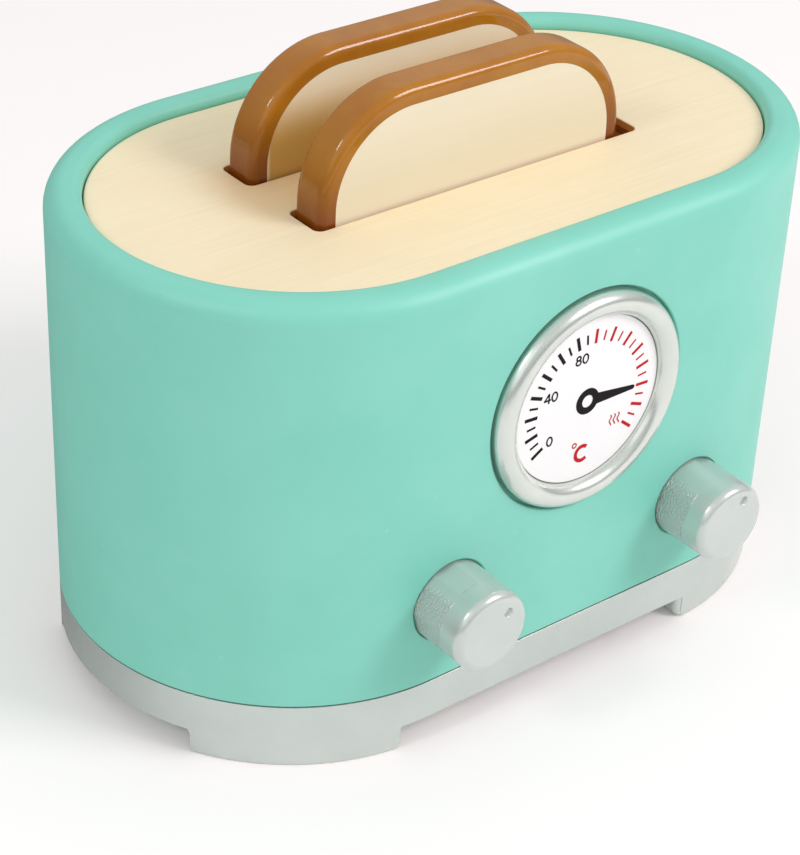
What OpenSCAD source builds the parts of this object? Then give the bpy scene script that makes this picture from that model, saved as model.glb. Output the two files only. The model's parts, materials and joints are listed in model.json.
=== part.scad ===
// Toy toaster of painted wood: a round-ended shell on a footed plinth, a plywood top with two slots,
// two wooden slices of toast on a sprung lift with a side lever, a printed dial and two turning knobs.
// All sizes are in millimetres. +X is the end with the lever, -Y is the front with the dial, +Z is up.
// The origin lies on the table, under the middle of the overall length and depth.

/* [Shell] */
// Length of the shell over its round ends
body_l = 200; // [190:1:220]
// Width of the shell, front to back
body_w = 117; // [112:1:126]
// Height of the rim above the table
rim_h = 126.2; // [122:0.1:136]
// Thickness of the shell's wall
wall = 9; // [8:0.5:10.5]
// Rounding of the rim's outer edge
rim_outer_r = 5; // [1:0.5:5.5]
// Rounding of the rim's inner edge
rim_inner_r = 2.5; // [0.5:0.5:3]
// Chamfer on each side of the seam between shell and plinth
seam_chamfer = 0.4; // [0.2:0.1:0.8]

/* [Plinth] */
// Height of the plinth's top above the table
seam_h = 17.6; // [15:0.1:21]
// Height of the feet
foot_h = 6.7; // [5:0.1:8]
// Front and rear notch, from the middle to the feet at the plain end
notch_to_left = 49.5; // [44:0.5:54]
// Front and rear notch, from the middle to the feet at the lever end
notch_to_right = 41; // [36:0.5:50]
// Width of the notch at each round end
end_notch_w = 58; // [40:1:66]
// Rounding at the top corners of the front and rear notch
notch_r = 0.7; // [0.5:0.1:3]
// Rounding at the top corners of the end notches
end_notch_r = 2; // [0.5:0.5:3]
// Rounding where a foot's side meets the table
foot_r = 2.2; // [0.5:0.1:2.5]
// Distance of the front and rear screws from the middle
base_screw_x = 22; // [12:1:24]
// Length of the screws that hold the shell
base_screw_l = 24; // [18:1:26]

/* [Top plate] */
// Depth of the plate's top below the rim
plate_drop = 2.8; // [2.6:0.1:5]
// Thickness of the plywood plate
plate_t = 8; // [6:0.5:10]
// Gap between the plate's edge and the shell
plate_gap = 0.3; // [0.2:0.1:0.6]
// Distance between the middles of the two slots
slot_pitch = 27; // [22:0.5:32]
// Distance that the slots stand off the middle, towards the rear
slots_back = 1.1; // [0:0.1:2]
// Play of a slice in its slot, on each side
slot_side_gap = 0.7; // [0.4:0.1:1.5]
// Length of the slot beyond a centred slice, at each end
slot_end_gap = 3.4; // [3:0.1:6]
// Rounding of the slot's corners
slot_r = 2; // [0.5:0.5:4]
// Distance from each end of the straight front to the strips that carry the plate
cleat_inset = 6.5; // [4:0.5:20]
// Width and height of the strips that carry the plate
cleat_w = 9; // [6:0.5:11]

/* [Slices] */
// Width of a slice
bread_w = 91; // [82:1:94]
// Height of a slice
bread_h = 85; // [78:1:90]
// Thickness of a slice
bread_t = 10.6; // [8:0.1:12]
// Height of a popped-up slice above the plate
bread_rise = 28.9; // [24:0.1:32]
// Distance that the slices stand off the middle, towards the plain end
bread_shift = 2.3; // [0:0.1:2.5]
// Radius of the slice's two top corners
crown_r = 26; // [16:1:34]
// Radius of the slice's two bottom corners
heel_r = 10; // [6:1:20]
// Rounding of the slice's edges
crust_r = 2.3; // [0.5:0.1:3]

/* [Dial] */
// Sideways place of the dial, and of the knobs with it
dial_x = 1.3; // [-3:0.1:3]
// Height of the dial's middle above the table
dial_z = 82.1; // [80:0.1:86]
// Radius of the printed face
face_r = 22.3; // [18:0.1:24]
// Width of the ring round the face
bezel_w = 6.2; // [4.5:0.1:7]
// Height of the ring in front of the shell
bezel_out = 2.8; // [2:0.1:4]
// Depth of the dial's recess in the shell
recess_d = 5; // [3:0.5:6]
// Gap round the ring in its recess
bezel_gap = 0.6; // [0.2:0.1:0.8]
// Gap between the face and the ring
face_gap = 0.15; // [0.1:0.05:0.3]

/* [Knobs] */
// Distance of each knob from the end of the straight front
knob_inset = 3; // [3:0.5:8]
// Height of the knobs above the table
knob_z = 39.8; // [37:0.1:41]
// Diameter of a knob
knob_d = 21.2; // [18:0.1:22]
// Height of a knob's face in front of the shell
knob_out = 16; // [14:0.5:22]
// Rounding of a knob's front edge
knob_r = 2.2; // [0.5:0.1:2.4]
// Number of shallow flats round a knob
knob_flats = 4; // [3:1:6]
// Depth of a flat
flat_d = 0.4; // [0.2:0.1:0.7]
// Length of round knob left in front of the flats
flat_land = 6.5; // [4:0.5:9]
// Diameter of the drilled mark in a knob's face
mark_d = 1.9; // [1:0.1:2]
// Distance of the drilled mark from the knob's side
mark_inset = 3.4; // [3.4:0.1:5]
// Margin of the shallow recess round a knob's foot
foot_margin = 1; // [0.5:0.1:1.5]
// Depth of the shallow recess round a knob's foot
foot_recess_d = 1.2; // [1:0.1:2]
// Diameter of the dowel that a knob turns on
axle_d = 8; // [6:0.5:9]
// Depth to which a dowel is glued into its knob or handle
glue_depth = 9; // [6:0.5:10]
// Diameter of the washer behind the shell
washer_d = 13; // [11:0.5:14]
// Thickness of the washer behind the shell
washer_t = 1.2; // [0.8:0.1:2]

/* [Lift] */
// Travel of the lift from popped up to pressed down
travel = 26; // [16:1:28]
// Thickness of the tray under the slices
tray_t = 8; // [6:0.5:10]
// Depth of the grooves that hold the slices
groove_d = 3; // [2:0.5:4]
// Width of tray outside the slices
tray_margin = 6; // [4:0.5:8]
// Diameter of the steel guide rods
rod_d = 5; // [4:0.5:6]
// Distance from the shell's end to a guide rod
rod_inset = 38; // [36.5:0.5:44]
// Depth to which a rod stands in the plinth and in the plate
rod_seat = 4; // [2:0.5:5]
// Width of tray round a guide rod
lug_w = 6.5; // [5:0.5:7]
// Diameter of the spring's wire
wire_d = 1.2; // [0.8:0.1:1.5]
// Play between a guide rod and the inside of its spring
spring_gap = 1.3; // [0.8:0.1:2]
// Number of turns in a spring
spring_turns = 9; // [6:1:10]

/* [Lever] */
// Height of the lever's dowel above the tray
lever_up = 19; // [14:0.5:23]
// Diameter of the lever's dowel
pin_d = 8; // [6:0.5:9]
// Play of the dowel in its slot, on each side and at each end of the travel
pin_gap = 0.4; // [0.3:0.1:1]
// Thickness of the post that carries the dowel
post_t = 10; // [9:0.5:11]
// Width of the post that carries the dowel
post_w = 16; // [14:0.5:18]
// Wood above the dowel in the post
post_over = 4; // [3:0.5:6]
// Width of the handle
handle_w = 22; // [18:0.5:24]
// Height of the handle
handle_h = 13; // [12:0.5:16]
// Thickness of the handle
handle_t = 12; // [11:0.5:16]
// Rounding of the handle's front edge
handle_r = 2.5; // [0.5:0.1:4]
// Gap between the handle and the shell
handle_gap = 1.5; // [1:0.1:3]

/* [Hidden] */
$fn = 96;

// Clearances that are the same all over the toy
run_gap = 0.08;        // a turning or sliding fit, on the radius
glue_gap = 0.04;       // a glued or driven fit, on the radius
seat_gap = 0.3;        // between parts that move past each other
groove_gap = 0.5;      // round a slice in its groove
cut = 1;               // how far a cut runs past the surface that it opens

// Shell and plinth
end_r = body_w / 2;
half_run = body_l / 2 - end_r;
inner_r = end_r - wall;
front_y = -end_r;
wall_mid = end_r - wall / 2;

// Plate and slots
plate_top = rim_h - plate_drop;
plate_bottom = plate_top - plate_t;
plate_r = inner_r - plate_gap;
plate_ease = 0.4;
slot_w = bread_t + 2 * slot_side_gap;
slot_l = bread_w + 2 * slot_end_gap;
front_slot_y = slots_back - slot_pitch / 2;
rear_slot_y = slots_back + slot_pitch / 2;

// Slices and tray, popped up
bread_bottom = plate_top + bread_rise - bread_h;
tray_top = bread_bottom + groove_d;
tray_bottom = tray_top - tray_t;
tray_w = slot_pitch + bread_t + 2 * tray_margin;
tray_l = bread_w + 2 * tray_margin;
tray_corner_r = 4;
rod_x = body_l / 2 - rod_inset;
lug_r = rod_d / 2 + lug_w;

// Springs
spring_r = rod_d / 2 + spring_gap + wire_d / 2;
spring_sides = 6;
spring_rings = 8;      // rings in a turn
spring_flat = 0.75;    // turns that lie flat at each end
spring_ease = 0.05;    // between a spring's end and its seat
spring_low = seam_h + spring_ease + wire_d / 2;
spring_high = tray_bottom - spring_ease - wire_d / 2;

// Lever
lever_z = tray_top + lever_up;
post_x = rod_x + lug_r + seat_gap + post_t / 2;
handle_x = body_l / 2 + handle_gap;
pin_end_x = handle_x + glue_depth;

// Knobs, measured outwards from the front of the shell
knob_x = half_run - knob_inset;
bezel_r = face_r + bezel_w;
knob_back = -foot_recess_d + seat_gap;
axle_in = knob_back + glue_depth;
axle_out = -wall - seat_gap - run_gap;

// Screws
screw_d = 3.2;
screw_head_d = 6.4;
screw_head_h = 2.4;
small_screw_l = 11;
lever_screw_l = 18;
lever_screw_y = post_w / 4;
screw_over = 0.6;      // depth of a hole beyond the screw's end

// Angles of the drilled marks and of the flats, from the top towards +X
mark_angle_left = 44;
mark_angle_right = 27;
flat_angle_left = -14;
flat_angle_right = 20;

mint = "#8fd9c2";
silver = "#c3cbc7";
birch = "#ecdcb6";
beech = "#d9b98a";
toast = "#a8672f";
steel = "#9a9da1";
white = "#f4f4f2";

// ---- Helpers ----

// The middle of the shell stands beside the origin, which is the middle of the overall box
module placed() {
  translate([-(handle_gap + handle_t) / 2, knob_out / 2, 0]) children();
}

// Local Z points out of the front, local Y points up, at a place on the front of the shell
module on_front(x, z) {
  translate([x, front_y, z]) rotate([90, 0, 0]) children();
}

// Sweeps a profile round the shell's outline; the profile's X is the distance from the centre line
module round_ended_sweep() {
  for (turn = [0, 180]) {
    rotate([0, 0, turn]) {
      translate([half_run, 0, 0]) rotate([0, 0, -90]) rotate_extrude(angle = 180) children();
      translate([-half_run, 0, 0]) rotate([90, 0, 90]) linear_extrude(2 * half_run) children();
    }
  }
}

// What is cut away to round a corner of a profile, whose corner points to +X and +Y
module corner_round(r) {
  translate([-r, -r]) difference() {
    square(r + cut);
    circle(r);
  }
}

// A rectangle with round corners, centred
module round_rect(w, h, r) {
  square([w - 2 * r, h], center = true);
  square([w, h - 2 * r], center = true);
  for (x = [-1, 1]) {
    for (y = [-1, 1]) {
      translate([x * (w / 2 - r), y * (h / 2 - r)]) circle(r);
    }
  }
}

// A plain profile for turning, with its top outer corner rounded
module turned_profile(r, low, high, edge) {
  translate([0, low]) square([r - edge, high - low]);
  translate([0, low]) square([r, high - low - edge]);
  translate([r - edge, high - edge]) circle(edge);
}

// A countersunk screw with its head down at Z = 0 and its point up
module screw(length) {
  cylinder(h = screw_head_h, d1 = screw_head_d, d2 = screw_d);
  cylinder(h = length, d = screw_d);
}

// The hole that a screw sits in, with room all round
module screw_hole(length) {
  translate([0, 0, -cut]) cylinder(h = cut, d = screw_head_d + 2 * glue_gap);
  cylinder(h = screw_head_h, d1 = screw_head_d + 2 * glue_gap, d2 = screw_d + 2 * glue_gap);
  cylinder(h = length + screw_over, d = screw_d + 2 * glue_gap);
}

// The places of the six screws that join the plinth to the shell
module at_base_screws() {
  for (x = [-1, 1]) {
    translate([x * (half_run + wall_mid), 0, foot_h]) children();
    for (y = [-1, 1]) {
      translate([x * base_screw_x, y * wall_mid, foot_h]) children();
    }
  }
}

// The outline of a notch between two feet, from the table up
module notch_outline(w, corner_r) {
  translate([0, foot_h / 2]) round_rect(w, foot_h, corner_r);
  translate([-w / 2, -cut]) square([w, foot_h / 2 + cut]);
  difference() {
    translate([-w / 2 - foot_r, -cut]) square([w + 2 * foot_r, foot_r + cut]);
    for (x = [-1, 1]) {
      translate([x * (w / 2 + foot_r), foot_r]) circle(foot_r);
    }
  }
}

// ---- Shell, plinth and plate ----

module wall_profile() {
  difference() {
    translate([inner_r, seam_h]) square([wall, rim_h - seam_h]);
    translate([end_r, rim_h]) corner_round(rim_outer_r);
    translate([inner_r, rim_h]) mirror([1, 0]) corner_round(rim_inner_r);
    translate([end_r, seam_h]) rotate(45) square(seam_chamfer * sqrt(2), center = true);
  }
}

module lever_slot() {
  slot_r = pin_d / 2 + pin_gap;
  translate([0, 0, lever_z]) rotate([0, 90, 0]) cylinder(h = body_l, r = slot_r);
  translate([0, 0, lever_z - travel]) rotate([0, 90, 0]) cylinder(h = body_l, r = slot_r);
  translate([0, -slot_r, lever_z - travel]) cube([body_l, 2 * slot_r, travel]);
}

module knob_opening(x) {
  on_front(x, knob_z) {
    translate([0, 0, -foot_recess_d]) cylinder(h = foot_recess_d + cut, d = knob_d + 2 * foot_margin);
    translate([0, 0, -wall - cut]) cylinder(h = wall + 2 * cut, r = axle_d / 2 + run_gap);
  }
}

module body_shell() {
  placed() color(mint) difference() {
    round_ended_sweep() wall_profile();
    on_front(dial_x, dial_z) translate([0, 0, -recess_d])
      cylinder(h = recess_d + cut, r = bezel_r + bezel_gap);
    knob_opening(dial_x - knob_x);
    knob_opening(dial_x + knob_x);
    lever_slot();
    at_base_screws() screw_hole(base_screw_l);
  }
}

module base_plinth() {
  notch_w = notch_to_left + notch_to_right;
  notch_x = (notch_to_right - notch_to_left) / 2;
  placed() color(silver) difference() {
    round_ended_sweep() difference() {
      square([end_r, seam_h]);
      translate([end_r, seam_h]) rotate(45) square(seam_chamfer * sqrt(2), center = true);
    }
    translate([notch_x, end_r + cut, 0]) rotate([90, 0, 0]) linear_extrude(body_w + 2 * cut)
      notch_outline(notch_w, notch_r);
    translate([-body_l / 2 - cut, 0, 0]) rotate([90, 0, 90]) linear_extrude(body_l + 2 * cut)
      notch_outline(end_notch_w, end_notch_r);
    at_base_screws() screw_hole(base_screw_l);
    for (x = [-1, 1]) {
      translate([x * rod_x, 0, seam_h - rod_seat]) cylinder(h = rod_seat + cut, r = rod_d / 2 + glue_gap);
    }
  }
}

module base_screws() {
  placed() color(steel) at_base_screws() screw(base_screw_l);
}

module top_plate() {
  placed() color(birch) difference() {
    plate_board();
    for (y = [front_slot_y, rear_slot_y]) {
      translate([0, y, plate_bottom - cut]) linear_extrude(plate_t + 2 * cut)
        round_rect(slot_l, slot_w, slot_r);
    }
    for (x = [-1, 1]) {
      translate([x * rod_x, 0, plate_bottom - cut]) cylinder(h = rod_seat + cut, r = rod_d / 2 + glue_gap);
    }
  }
}

// The plate's board, with its top edge eased
module plate_board() {
  round_ended_sweep() difference() {
    translate([0, plate_bottom]) square([plate_r, plate_t]);
    translate([plate_r, plate_top]) corner_round(plate_ease);
  }
}

module cleat(side) {
  length = 2 * (half_run - cleat_inset);
  low_y = side > 0 ? inner_r - cleat_w : -inner_r;
  placed() color(beech) translate([-length / 2, low_y, plate_bottom - cleat_w])
    cube([length, cleat_w, cleat_w]);
}

module cleat_front() {
  cleat(-1);
}

module cleat_rear() {
  cleat(1);
}

// ---- Dial ----

module dial_bezel() {
  round_r = bezel_w / 2;
  placed() color(silver) on_front(dial_x, dial_z) rotate_extrude() {
    translate([face_r, -recess_d]) square([bezel_w, recess_d + bezel_out - round_r]);
    translate([face_r + round_r, bezel_out - round_r]) circle(round_r);
  }
}

module dial_face() {
  placed() color(white) on_front(dial_x, dial_z) translate([0, 0, -recess_d])
    cylinder(h = recess_d, r = face_r - face_gap);
}

// ---- Knobs ----

module knob(x, mark_angle, flat_angle) {
  placed() color(silver) on_front(x, knob_z) difference() {
    rotate_extrude() turned_profile(knob_d / 2, knob_back, knob_out, knob_r);
    translate([0, 0, knob_back - cut]) cylinder(h = glue_depth + cut, r = axle_d / 2 + glue_gap);
    rotate(-mark_angle) translate([0, knob_d / 2 - mark_inset, knob_out - mark_d / 2])
      cylinder(h = mark_d / 2, d1 = 0, d2 = mark_d);
    for (i = [0 : knob_flats - 1]) {
      rotate(-flat_angle - i * 360 / knob_flats)
        translate([-knob_d / 2, knob_d / 2 - flat_d, knob_back - cut])
          cube([knob_d, knob_d, knob_out - flat_land - knob_back + cut]);
    }
  }
}

module axle(x) {
  placed() color(beech) on_front(x, knob_z) difference() {
    translate([0, 0, axle_out]) cylinder(h = axle_in - axle_out, d = axle_d);
    translate([0, 0, axle_out - washer_t]) screw_shank_hole();
  }
}

// The hole for a small screw that comes from inside, with its point outwards
module screw_shank_hole() {
  cylinder(h = small_screw_l + screw_over, d = screw_d + 2 * glue_gap);
}

module washer(x) {
  placed() color(steel) on_front(x, knob_z) translate([0, 0, axle_out - washer_t]) difference() {
    cylinder(h = washer_t, d = washer_d);
    translate([0, 0, -cut]) cylinder(h = washer_t + 2 * cut, d = screw_d + 2 * glue_gap);
  }
}

module axle_screw(x) {
  placed() color(steel) on_front(x, knob_z) translate([0, 0, axle_out - washer_t]) {
    translate([0, 0, -screw_head_h]) cylinder(h = screw_head_h, d = screw_head_d);
    cylinder(h = small_screw_l, d = screw_d);
  }
}

module knob_left() {
  knob(dial_x - knob_x, mark_angle_left, flat_angle_left);
}

module knob_right() {
  knob(dial_x + knob_x, mark_angle_right, flat_angle_right);
}

module axle_left() {
  axle(dial_x - knob_x);
}

module axle_right() {
  axle(dial_x + knob_x);
}

module washer_left() {
  washer(dial_x - knob_x);
}

module washer_right() {
  washer(dial_x + knob_x);
}

module axle_screw_left() {
  axle_screw(dial_x - knob_x);
}

module axle_screw_right() {
  axle_screw(dial_x + knob_x);
}

// ---- Lift ----

module guide_rod(x) {
  placed() color(steel) translate([x, 0, seam_h - rod_seat])
    cylinder(h = plate_bottom - seam_h + 2 * rod_seat - seat_gap, d = rod_d);
}

module guide_rod_left() {
  guide_rod(-rod_x);
}

module guide_rod_right() {
  guide_rod(rod_x);
}

// Height of the wire's middle after so many turns, flat at both ends
function wire_z(turns) =
  let (share = (turns - spring_flat) / (spring_turns - 2 * spring_flat))
  spring_low + (spring_high - spring_low) * min(max(share, 0), 1);

// Middle of the wire after so many turns
function wire_at(turns) = [spring_r * cos(360 * turns), spring_r * sin(360 * turns), wire_z(turns)];

// One ring of points round the wire, square to it
function wire_ring(turns) =
  let (angle = 360 * turns)
  let (step = 0.5 / spring_rings)
  let (rise = (wire_z(turns + step) - wire_z(turns - step)) / (2 * step))
  let (slope = atan2(rise, 2 * PI * spring_r))
  [for (side = [0 : spring_sides - 1])
    let (spin = 30 + 360 * side / spring_sides)
    wire_at(turns) + wire_d / 2 * (cos(spin) * [cos(angle), sin(angle), 0]
      + sin(spin) * [sin(slope) * sin(angle), -sin(slope) * cos(angle), cos(slope)])];

spring_count = spring_turns * spring_rings;
wire_middles = [for (i = [0 : spring_count]) wire_at(i / spring_rings)];
least_gap = min([for (i = [0 : spring_count]) for (j = [i + spring_rings / 2 : 1 : spring_count])
  norm(wire_middles[j] - wire_middles[i])]) - wire_d;
echo(str("Least gap between a spring's turns: ", least_gap, " mm"));

module lift_spring(x) {
  rings = [for (i = [0 : spring_count]) each wire_ring(i / spring_rings)];
  last = spring_count * spring_sides;
  skin = [for (i = [0 : spring_count - 1]) for (side = [0 : spring_sides - 1])
    let (a = i * spring_sides + side)
    let (b = i * spring_sides + (side + 1) % spring_sides)
    each [[a, b, b + spring_sides], [a, b + spring_sides, a + spring_sides]]];
  start_cap = [for (side = [1 : spring_sides - 2]) [0, side + 1, side]];
  end_cap = [for (side = [1 : spring_sides - 2]) [last, last + side, last + side + 1]];
  placed() color(steel) translate([x, 0, 0]) polyhedron(rings, concat(skin, start_cap, end_cap));
}

module lift_spring_left() {
  lift_spring(-rod_x);
}

module lift_spring_right() {
  lift_spring(rod_x);
}

module toast_tray() {
  tongue_end = post_x + post_t / 2;
  placed() color(beech) difference() {
    translate([0, 0, tray_bottom]) linear_extrude(tray_t) {
      round_rect(tray_l, tray_w, tray_corner_r);
      translate([-rod_x, 0]) circle(lug_r);
      translate([-rod_x, -lug_r]) square([rod_x, 2 * lug_r]);
      translate([0, -lug_r]) square([tongue_end, 2 * lug_r]);
    }
    for (y = [front_slot_y, rear_slot_y]) {
      translate([-bread_shift, y, bread_bottom]) linear_extrude(groove_d + cut)
        square([bread_w + 2 * groove_gap, bread_t + 2 * groove_gap], center = true);
    }
    for (x = [-1, 1]) {
      translate([x * rod_x, 0, tray_bottom - cut]) cylinder(h = tray_t + 2 * cut, r = rod_d / 2 + run_gap);
    }
    at_lever_screws() screw_hole(lever_screw_l);
  }
}

module at_lever_screws() {
  for (y = [-1, 1]) {
    translate([post_x, y * lever_screw_y, tray_bottom]) children();
  }
}

module lever_post() {
  post_h = lever_up + pin_d / 2 + post_over;
  placed() color(beech) difference() {
    translate([post_x - post_t / 2, -post_w / 2, tray_top]) cube([post_t, post_w, post_h]);
    translate([post_x - post_t / 2 - cut, 0, lever_z]) rotate([0, 90, 0])
      cylinder(h = post_t + 2 * cut, r = pin_d / 2 + glue_gap);
    at_lever_screws() screw_hole(lever_screw_l);
  }
}

module lever_screws() {
  placed() color(steel) at_lever_screws() screw(lever_screw_l);
}

module lever_pin() {
  pin_x = post_x - post_t / 2;
  placed() color(beech) translate([pin_x, 0, lever_z]) rotate([0, 90, 0])
    cylinder(h = pin_end_x - pin_x, d = pin_d);
}

// A block with round ends and a rounded front edge, bored for the dowel
module lever_handle() {
  round_end = handle_h / 2;
  run = handle_w / 2 - round_end;
  placed() color(silver) translate([handle_x, 0, lever_z]) rotate([0, 90, 0]) difference() {
    for (turn = [0, 180]) {
      rotate([0, 0, turn]) {
        translate([0, run, 0]) rotate_extrude(angle = 180) turned_profile(round_end, 0, handle_t, handle_r);
        translate([0, run, 0]) rotate([90, 0, 0]) linear_extrude(2 * run)
          turned_profile(round_end, 0, handle_t, handle_r);
      }
    }
    translate([0, 0, -cut]) cylinder(h = glue_depth + cut, r = pin_d / 2 + glue_gap);
  }
}

// ---- Slices ----

// Half of a slice's section, from its middle out to a rounded edge, with the thickness along Y
module crust_profile(reach) {
  translate([0, -bread_t / 2]) square([reach - crust_r, bread_t]);
  translate([0, crust_r - bread_t / 2]) square([reach, bread_t - 2 * crust_r]);
  for (y = [-1, 1]) {
    translate([reach - crust_r, y * (bread_t / 2 - crust_r)]) circle(crust_r);
  }
}

// A slice standing on its heel, with its thickness along Y
module slice() {
  crown_x = bread_w / 2 - crown_r;
  heel_x = bread_w / 2 - heel_r;
  crown_z = bread_h - crown_r;
  rotate([90, 0, 0]) {
    for (side = [0, 1]) {
      mirror([side, 0, 0]) {
        translate([crown_x, crown_z, 0]) rotate_extrude(angle = 90) crust_profile(crown_r);
        translate([heel_x, heel_r, 0]) rotate([0, 0, -90]) rotate_extrude(angle = 90) crust_profile(heel_r);
        translate([heel_x, crown_z, 0]) rotate([90, 0, 0]) linear_extrude(crown_z - heel_r)
          crust_profile(heel_r);
      }
    }
    translate([-crown_x, crown_z, 0]) rotate([90, 0, 90]) linear_extrude(2 * crown_x) crust_profile(crown_r);
    translate([heel_x, heel_r, 0]) rotate([90, 0, -90]) linear_extrude(2 * heel_x) crust_profile(heel_r);
    translate([-heel_x, heel_r, -bread_t / 2]) cube([2 * heel_x, crown_z - heel_r, bread_t]);
  }
}

module bread_front() {
  placed() color(toast) translate([-bread_shift, front_slot_y, bread_bottom]) slice();
}

module bread_rear() {
  placed() color(toast) translate([-bread_shift, rear_slot_y, bread_bottom]) slice();
}

body_shell();
top_plate();
cleat_front();
cleat_rear();
base_plinth();
base_screws();
dial_bezel();
dial_face();
guide_rod_left();
guide_rod_right();
lift_spring_left();
lift_spring_right();
knob_left();
axle_left();
washer_left();
axle_screw_left();
knob_right();
axle_right();
washer_right();
axle_screw_right();
toast_tray();
lever_post();
lever_screws();
lever_pin();
lever_handle();
bread_front();
bread_rear();
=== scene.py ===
"""A toy toaster of painted wood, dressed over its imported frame.

Sizes are in millimetres in the frame's own axes: +X is the end with the lever, -Y is the front with the
dial and +Z is up. Sizes that the frame holds are read from its nodes, and the rest are named fields.
"""

import json
import logging
import math
from collections.abc import Callable, Iterable, Sequence
from dataclasses import dataclass
from enum import Enum

import bmesh
import bpy
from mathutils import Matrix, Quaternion, Vector
from mathutils.geometry import tessellate_polygon


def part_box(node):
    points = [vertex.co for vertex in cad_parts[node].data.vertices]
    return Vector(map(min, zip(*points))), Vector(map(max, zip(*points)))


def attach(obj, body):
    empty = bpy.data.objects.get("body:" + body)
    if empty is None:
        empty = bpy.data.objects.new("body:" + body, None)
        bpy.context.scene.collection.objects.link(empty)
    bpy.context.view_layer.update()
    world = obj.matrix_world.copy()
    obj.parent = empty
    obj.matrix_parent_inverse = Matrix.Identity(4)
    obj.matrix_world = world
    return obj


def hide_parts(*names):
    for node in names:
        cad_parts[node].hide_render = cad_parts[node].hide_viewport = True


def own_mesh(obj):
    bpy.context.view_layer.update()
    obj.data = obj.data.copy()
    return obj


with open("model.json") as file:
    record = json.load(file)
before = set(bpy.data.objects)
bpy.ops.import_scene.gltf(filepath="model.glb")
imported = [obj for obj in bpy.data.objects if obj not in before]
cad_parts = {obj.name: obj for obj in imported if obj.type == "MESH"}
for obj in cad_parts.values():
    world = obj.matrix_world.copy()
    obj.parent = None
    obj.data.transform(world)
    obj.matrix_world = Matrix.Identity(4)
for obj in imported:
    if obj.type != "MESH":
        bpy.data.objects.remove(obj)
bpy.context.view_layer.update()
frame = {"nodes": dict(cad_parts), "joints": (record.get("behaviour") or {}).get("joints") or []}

MM = 0.001
LOG = logging.getLogger("toy_toaster")

# The blind hole that a dowel is glued into
BORE_R = 4.04
BORE_DEEP = 9.0

# How far a cutter runs past the surface that it opens
PAST = 1.0

WHITE = (1.0, 1.0, 1.0, 1.0)

# Each printed digit's ovals, as half sizes and height, and its bars, as two ends.
# All are shares of half the digit's height.
DIGIT_OVALS = {"0": [(0.68, 1.0, 0.0)], "8": [(0.52, 0.46, 0.54), (0.62, 0.54, -0.46)]}
DIGIT_BARS = {
    "4": [((0.34, 1.1), (-0.78, -0.38)), ((-0.95, -0.38), (0.86, -0.38)), ((0.36, 1.14), (0.36, -1.14))],
}

Flat = tuple[float, float]
Section = tuple[Sequence[Flat], float]
Caps = tuple[int, int]
Inputs = dict[str | int, object]
Material = bpy.types.Material
Colour = tuple[int, int, int]
Socket = bpy.types.NodeSocket
Sockets = bpy.types.bpy_prop_collection
Placing = Callable[[float, float, float], Vector]


class Side(Enum):
    """An end of the toaster, seen from its front."""

    LEFT = "left"
    RIGHT = "right"


class Row(Enum):
    """One of the two slices, seen from the front."""

    FRONT = "front"
    REAR = "rear"


class Facing(Enum):
    """A side of the toy that a shape stands out of."""

    FRONT = "front"
    END = "lever's end"
    TOP = "top"


class Along(Enum):
    """The axis that the grain of a piece of wood follows, as the turn that lays it along X."""

    LENGTH = (0.0, 0.0, 0.0)
    DEPTH = (0.0, 0.0, math.pi / 2)
    HEIGHT = (0.0, math.pi / 2, 0.0)


class NodeBox:
    """The box round a CAD node at rest, in millimetres."""

    def __init__(self, node: str) -> None:
        """Read the node's corners from the frame.

        Args:
            node: Name of the CAD node.
        """
        low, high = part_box(node)
        self.low: Vector = low / MM
        self.high: Vector = high / MM
        self.middle: Vector = (self.low + self.high) / 2
        self.size: Vector = self.high - self.low


def lift_travel() -> float:
    """Give the lift's travel from popped up to pressed down."""
    lift = next(joint for joint in frame["joints"] if joint["name"] == "lift_slide")
    return -lift["range_m"][0] / MM


def placing(facing: Facing, at: Sequence[float]) -> Placing:
    """Give a placing, which puts a point across, up and out of one side of the toy in its place.

    Args:
        facing: The side that the third measure stands out of.
        at: The place that the three are measured from.

    Returns:
        The placing.
    """
    x, y, z = at
    if facing is Facing.FRONT:
        return lambda across, up, out: Vector((x + across, y - out, z + up))
    if facing is Facing.END:
        return lambda across, up, out: Vector((x + out, y + across, z + up))
    return lambda across, up, out: Vector((x + across, y + up, z + out))


# ---- Outlines ----


def arc(middle: Flat, radius: float, start: float, end: float, steps: int) -> list[Flat]:
    """Points on an arc, both ends included.

    Args:
        middle: Centre of the arc.
        radius: Radius of the arc.
        start: Angle of the first point in degrees, from +X towards +Y.
        end: Angle of the last point in degrees.
        steps: Number of steps between the first point and the last.

    Returns:
        The points in order.
    """
    turns = [math.radians(start + (end - start) * i / steps) for i in range(steps + 1)]
    return [(middle[0] + radius * math.cos(t), middle[1] + radius * math.sin(t)) for t in turns]


def circle(radius: float, steps: int) -> list[Flat]:
    """Points of a whole circle, anticlockwise from +X."""
    return arc((0, 0), radius, 0, 360 * (steps - 1) / steps, steps - 1)


def oval(wide: float, high: float, up: float = 0.0, steps: int = 28) -> list[Flat]:
    """Points of a closed oval, from its half sizes and its height above the middle."""
    return [(wide * x, up + high * y) for x, y in circle(1.0, steps)]


def clock_point(angle: float, radius: float) -> Flat:
    """Give the point at an angle in degrees, clockwise from the top."""
    turn = math.radians(angle)
    return (radius * math.sin(turn), radius * math.cos(turn))


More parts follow.
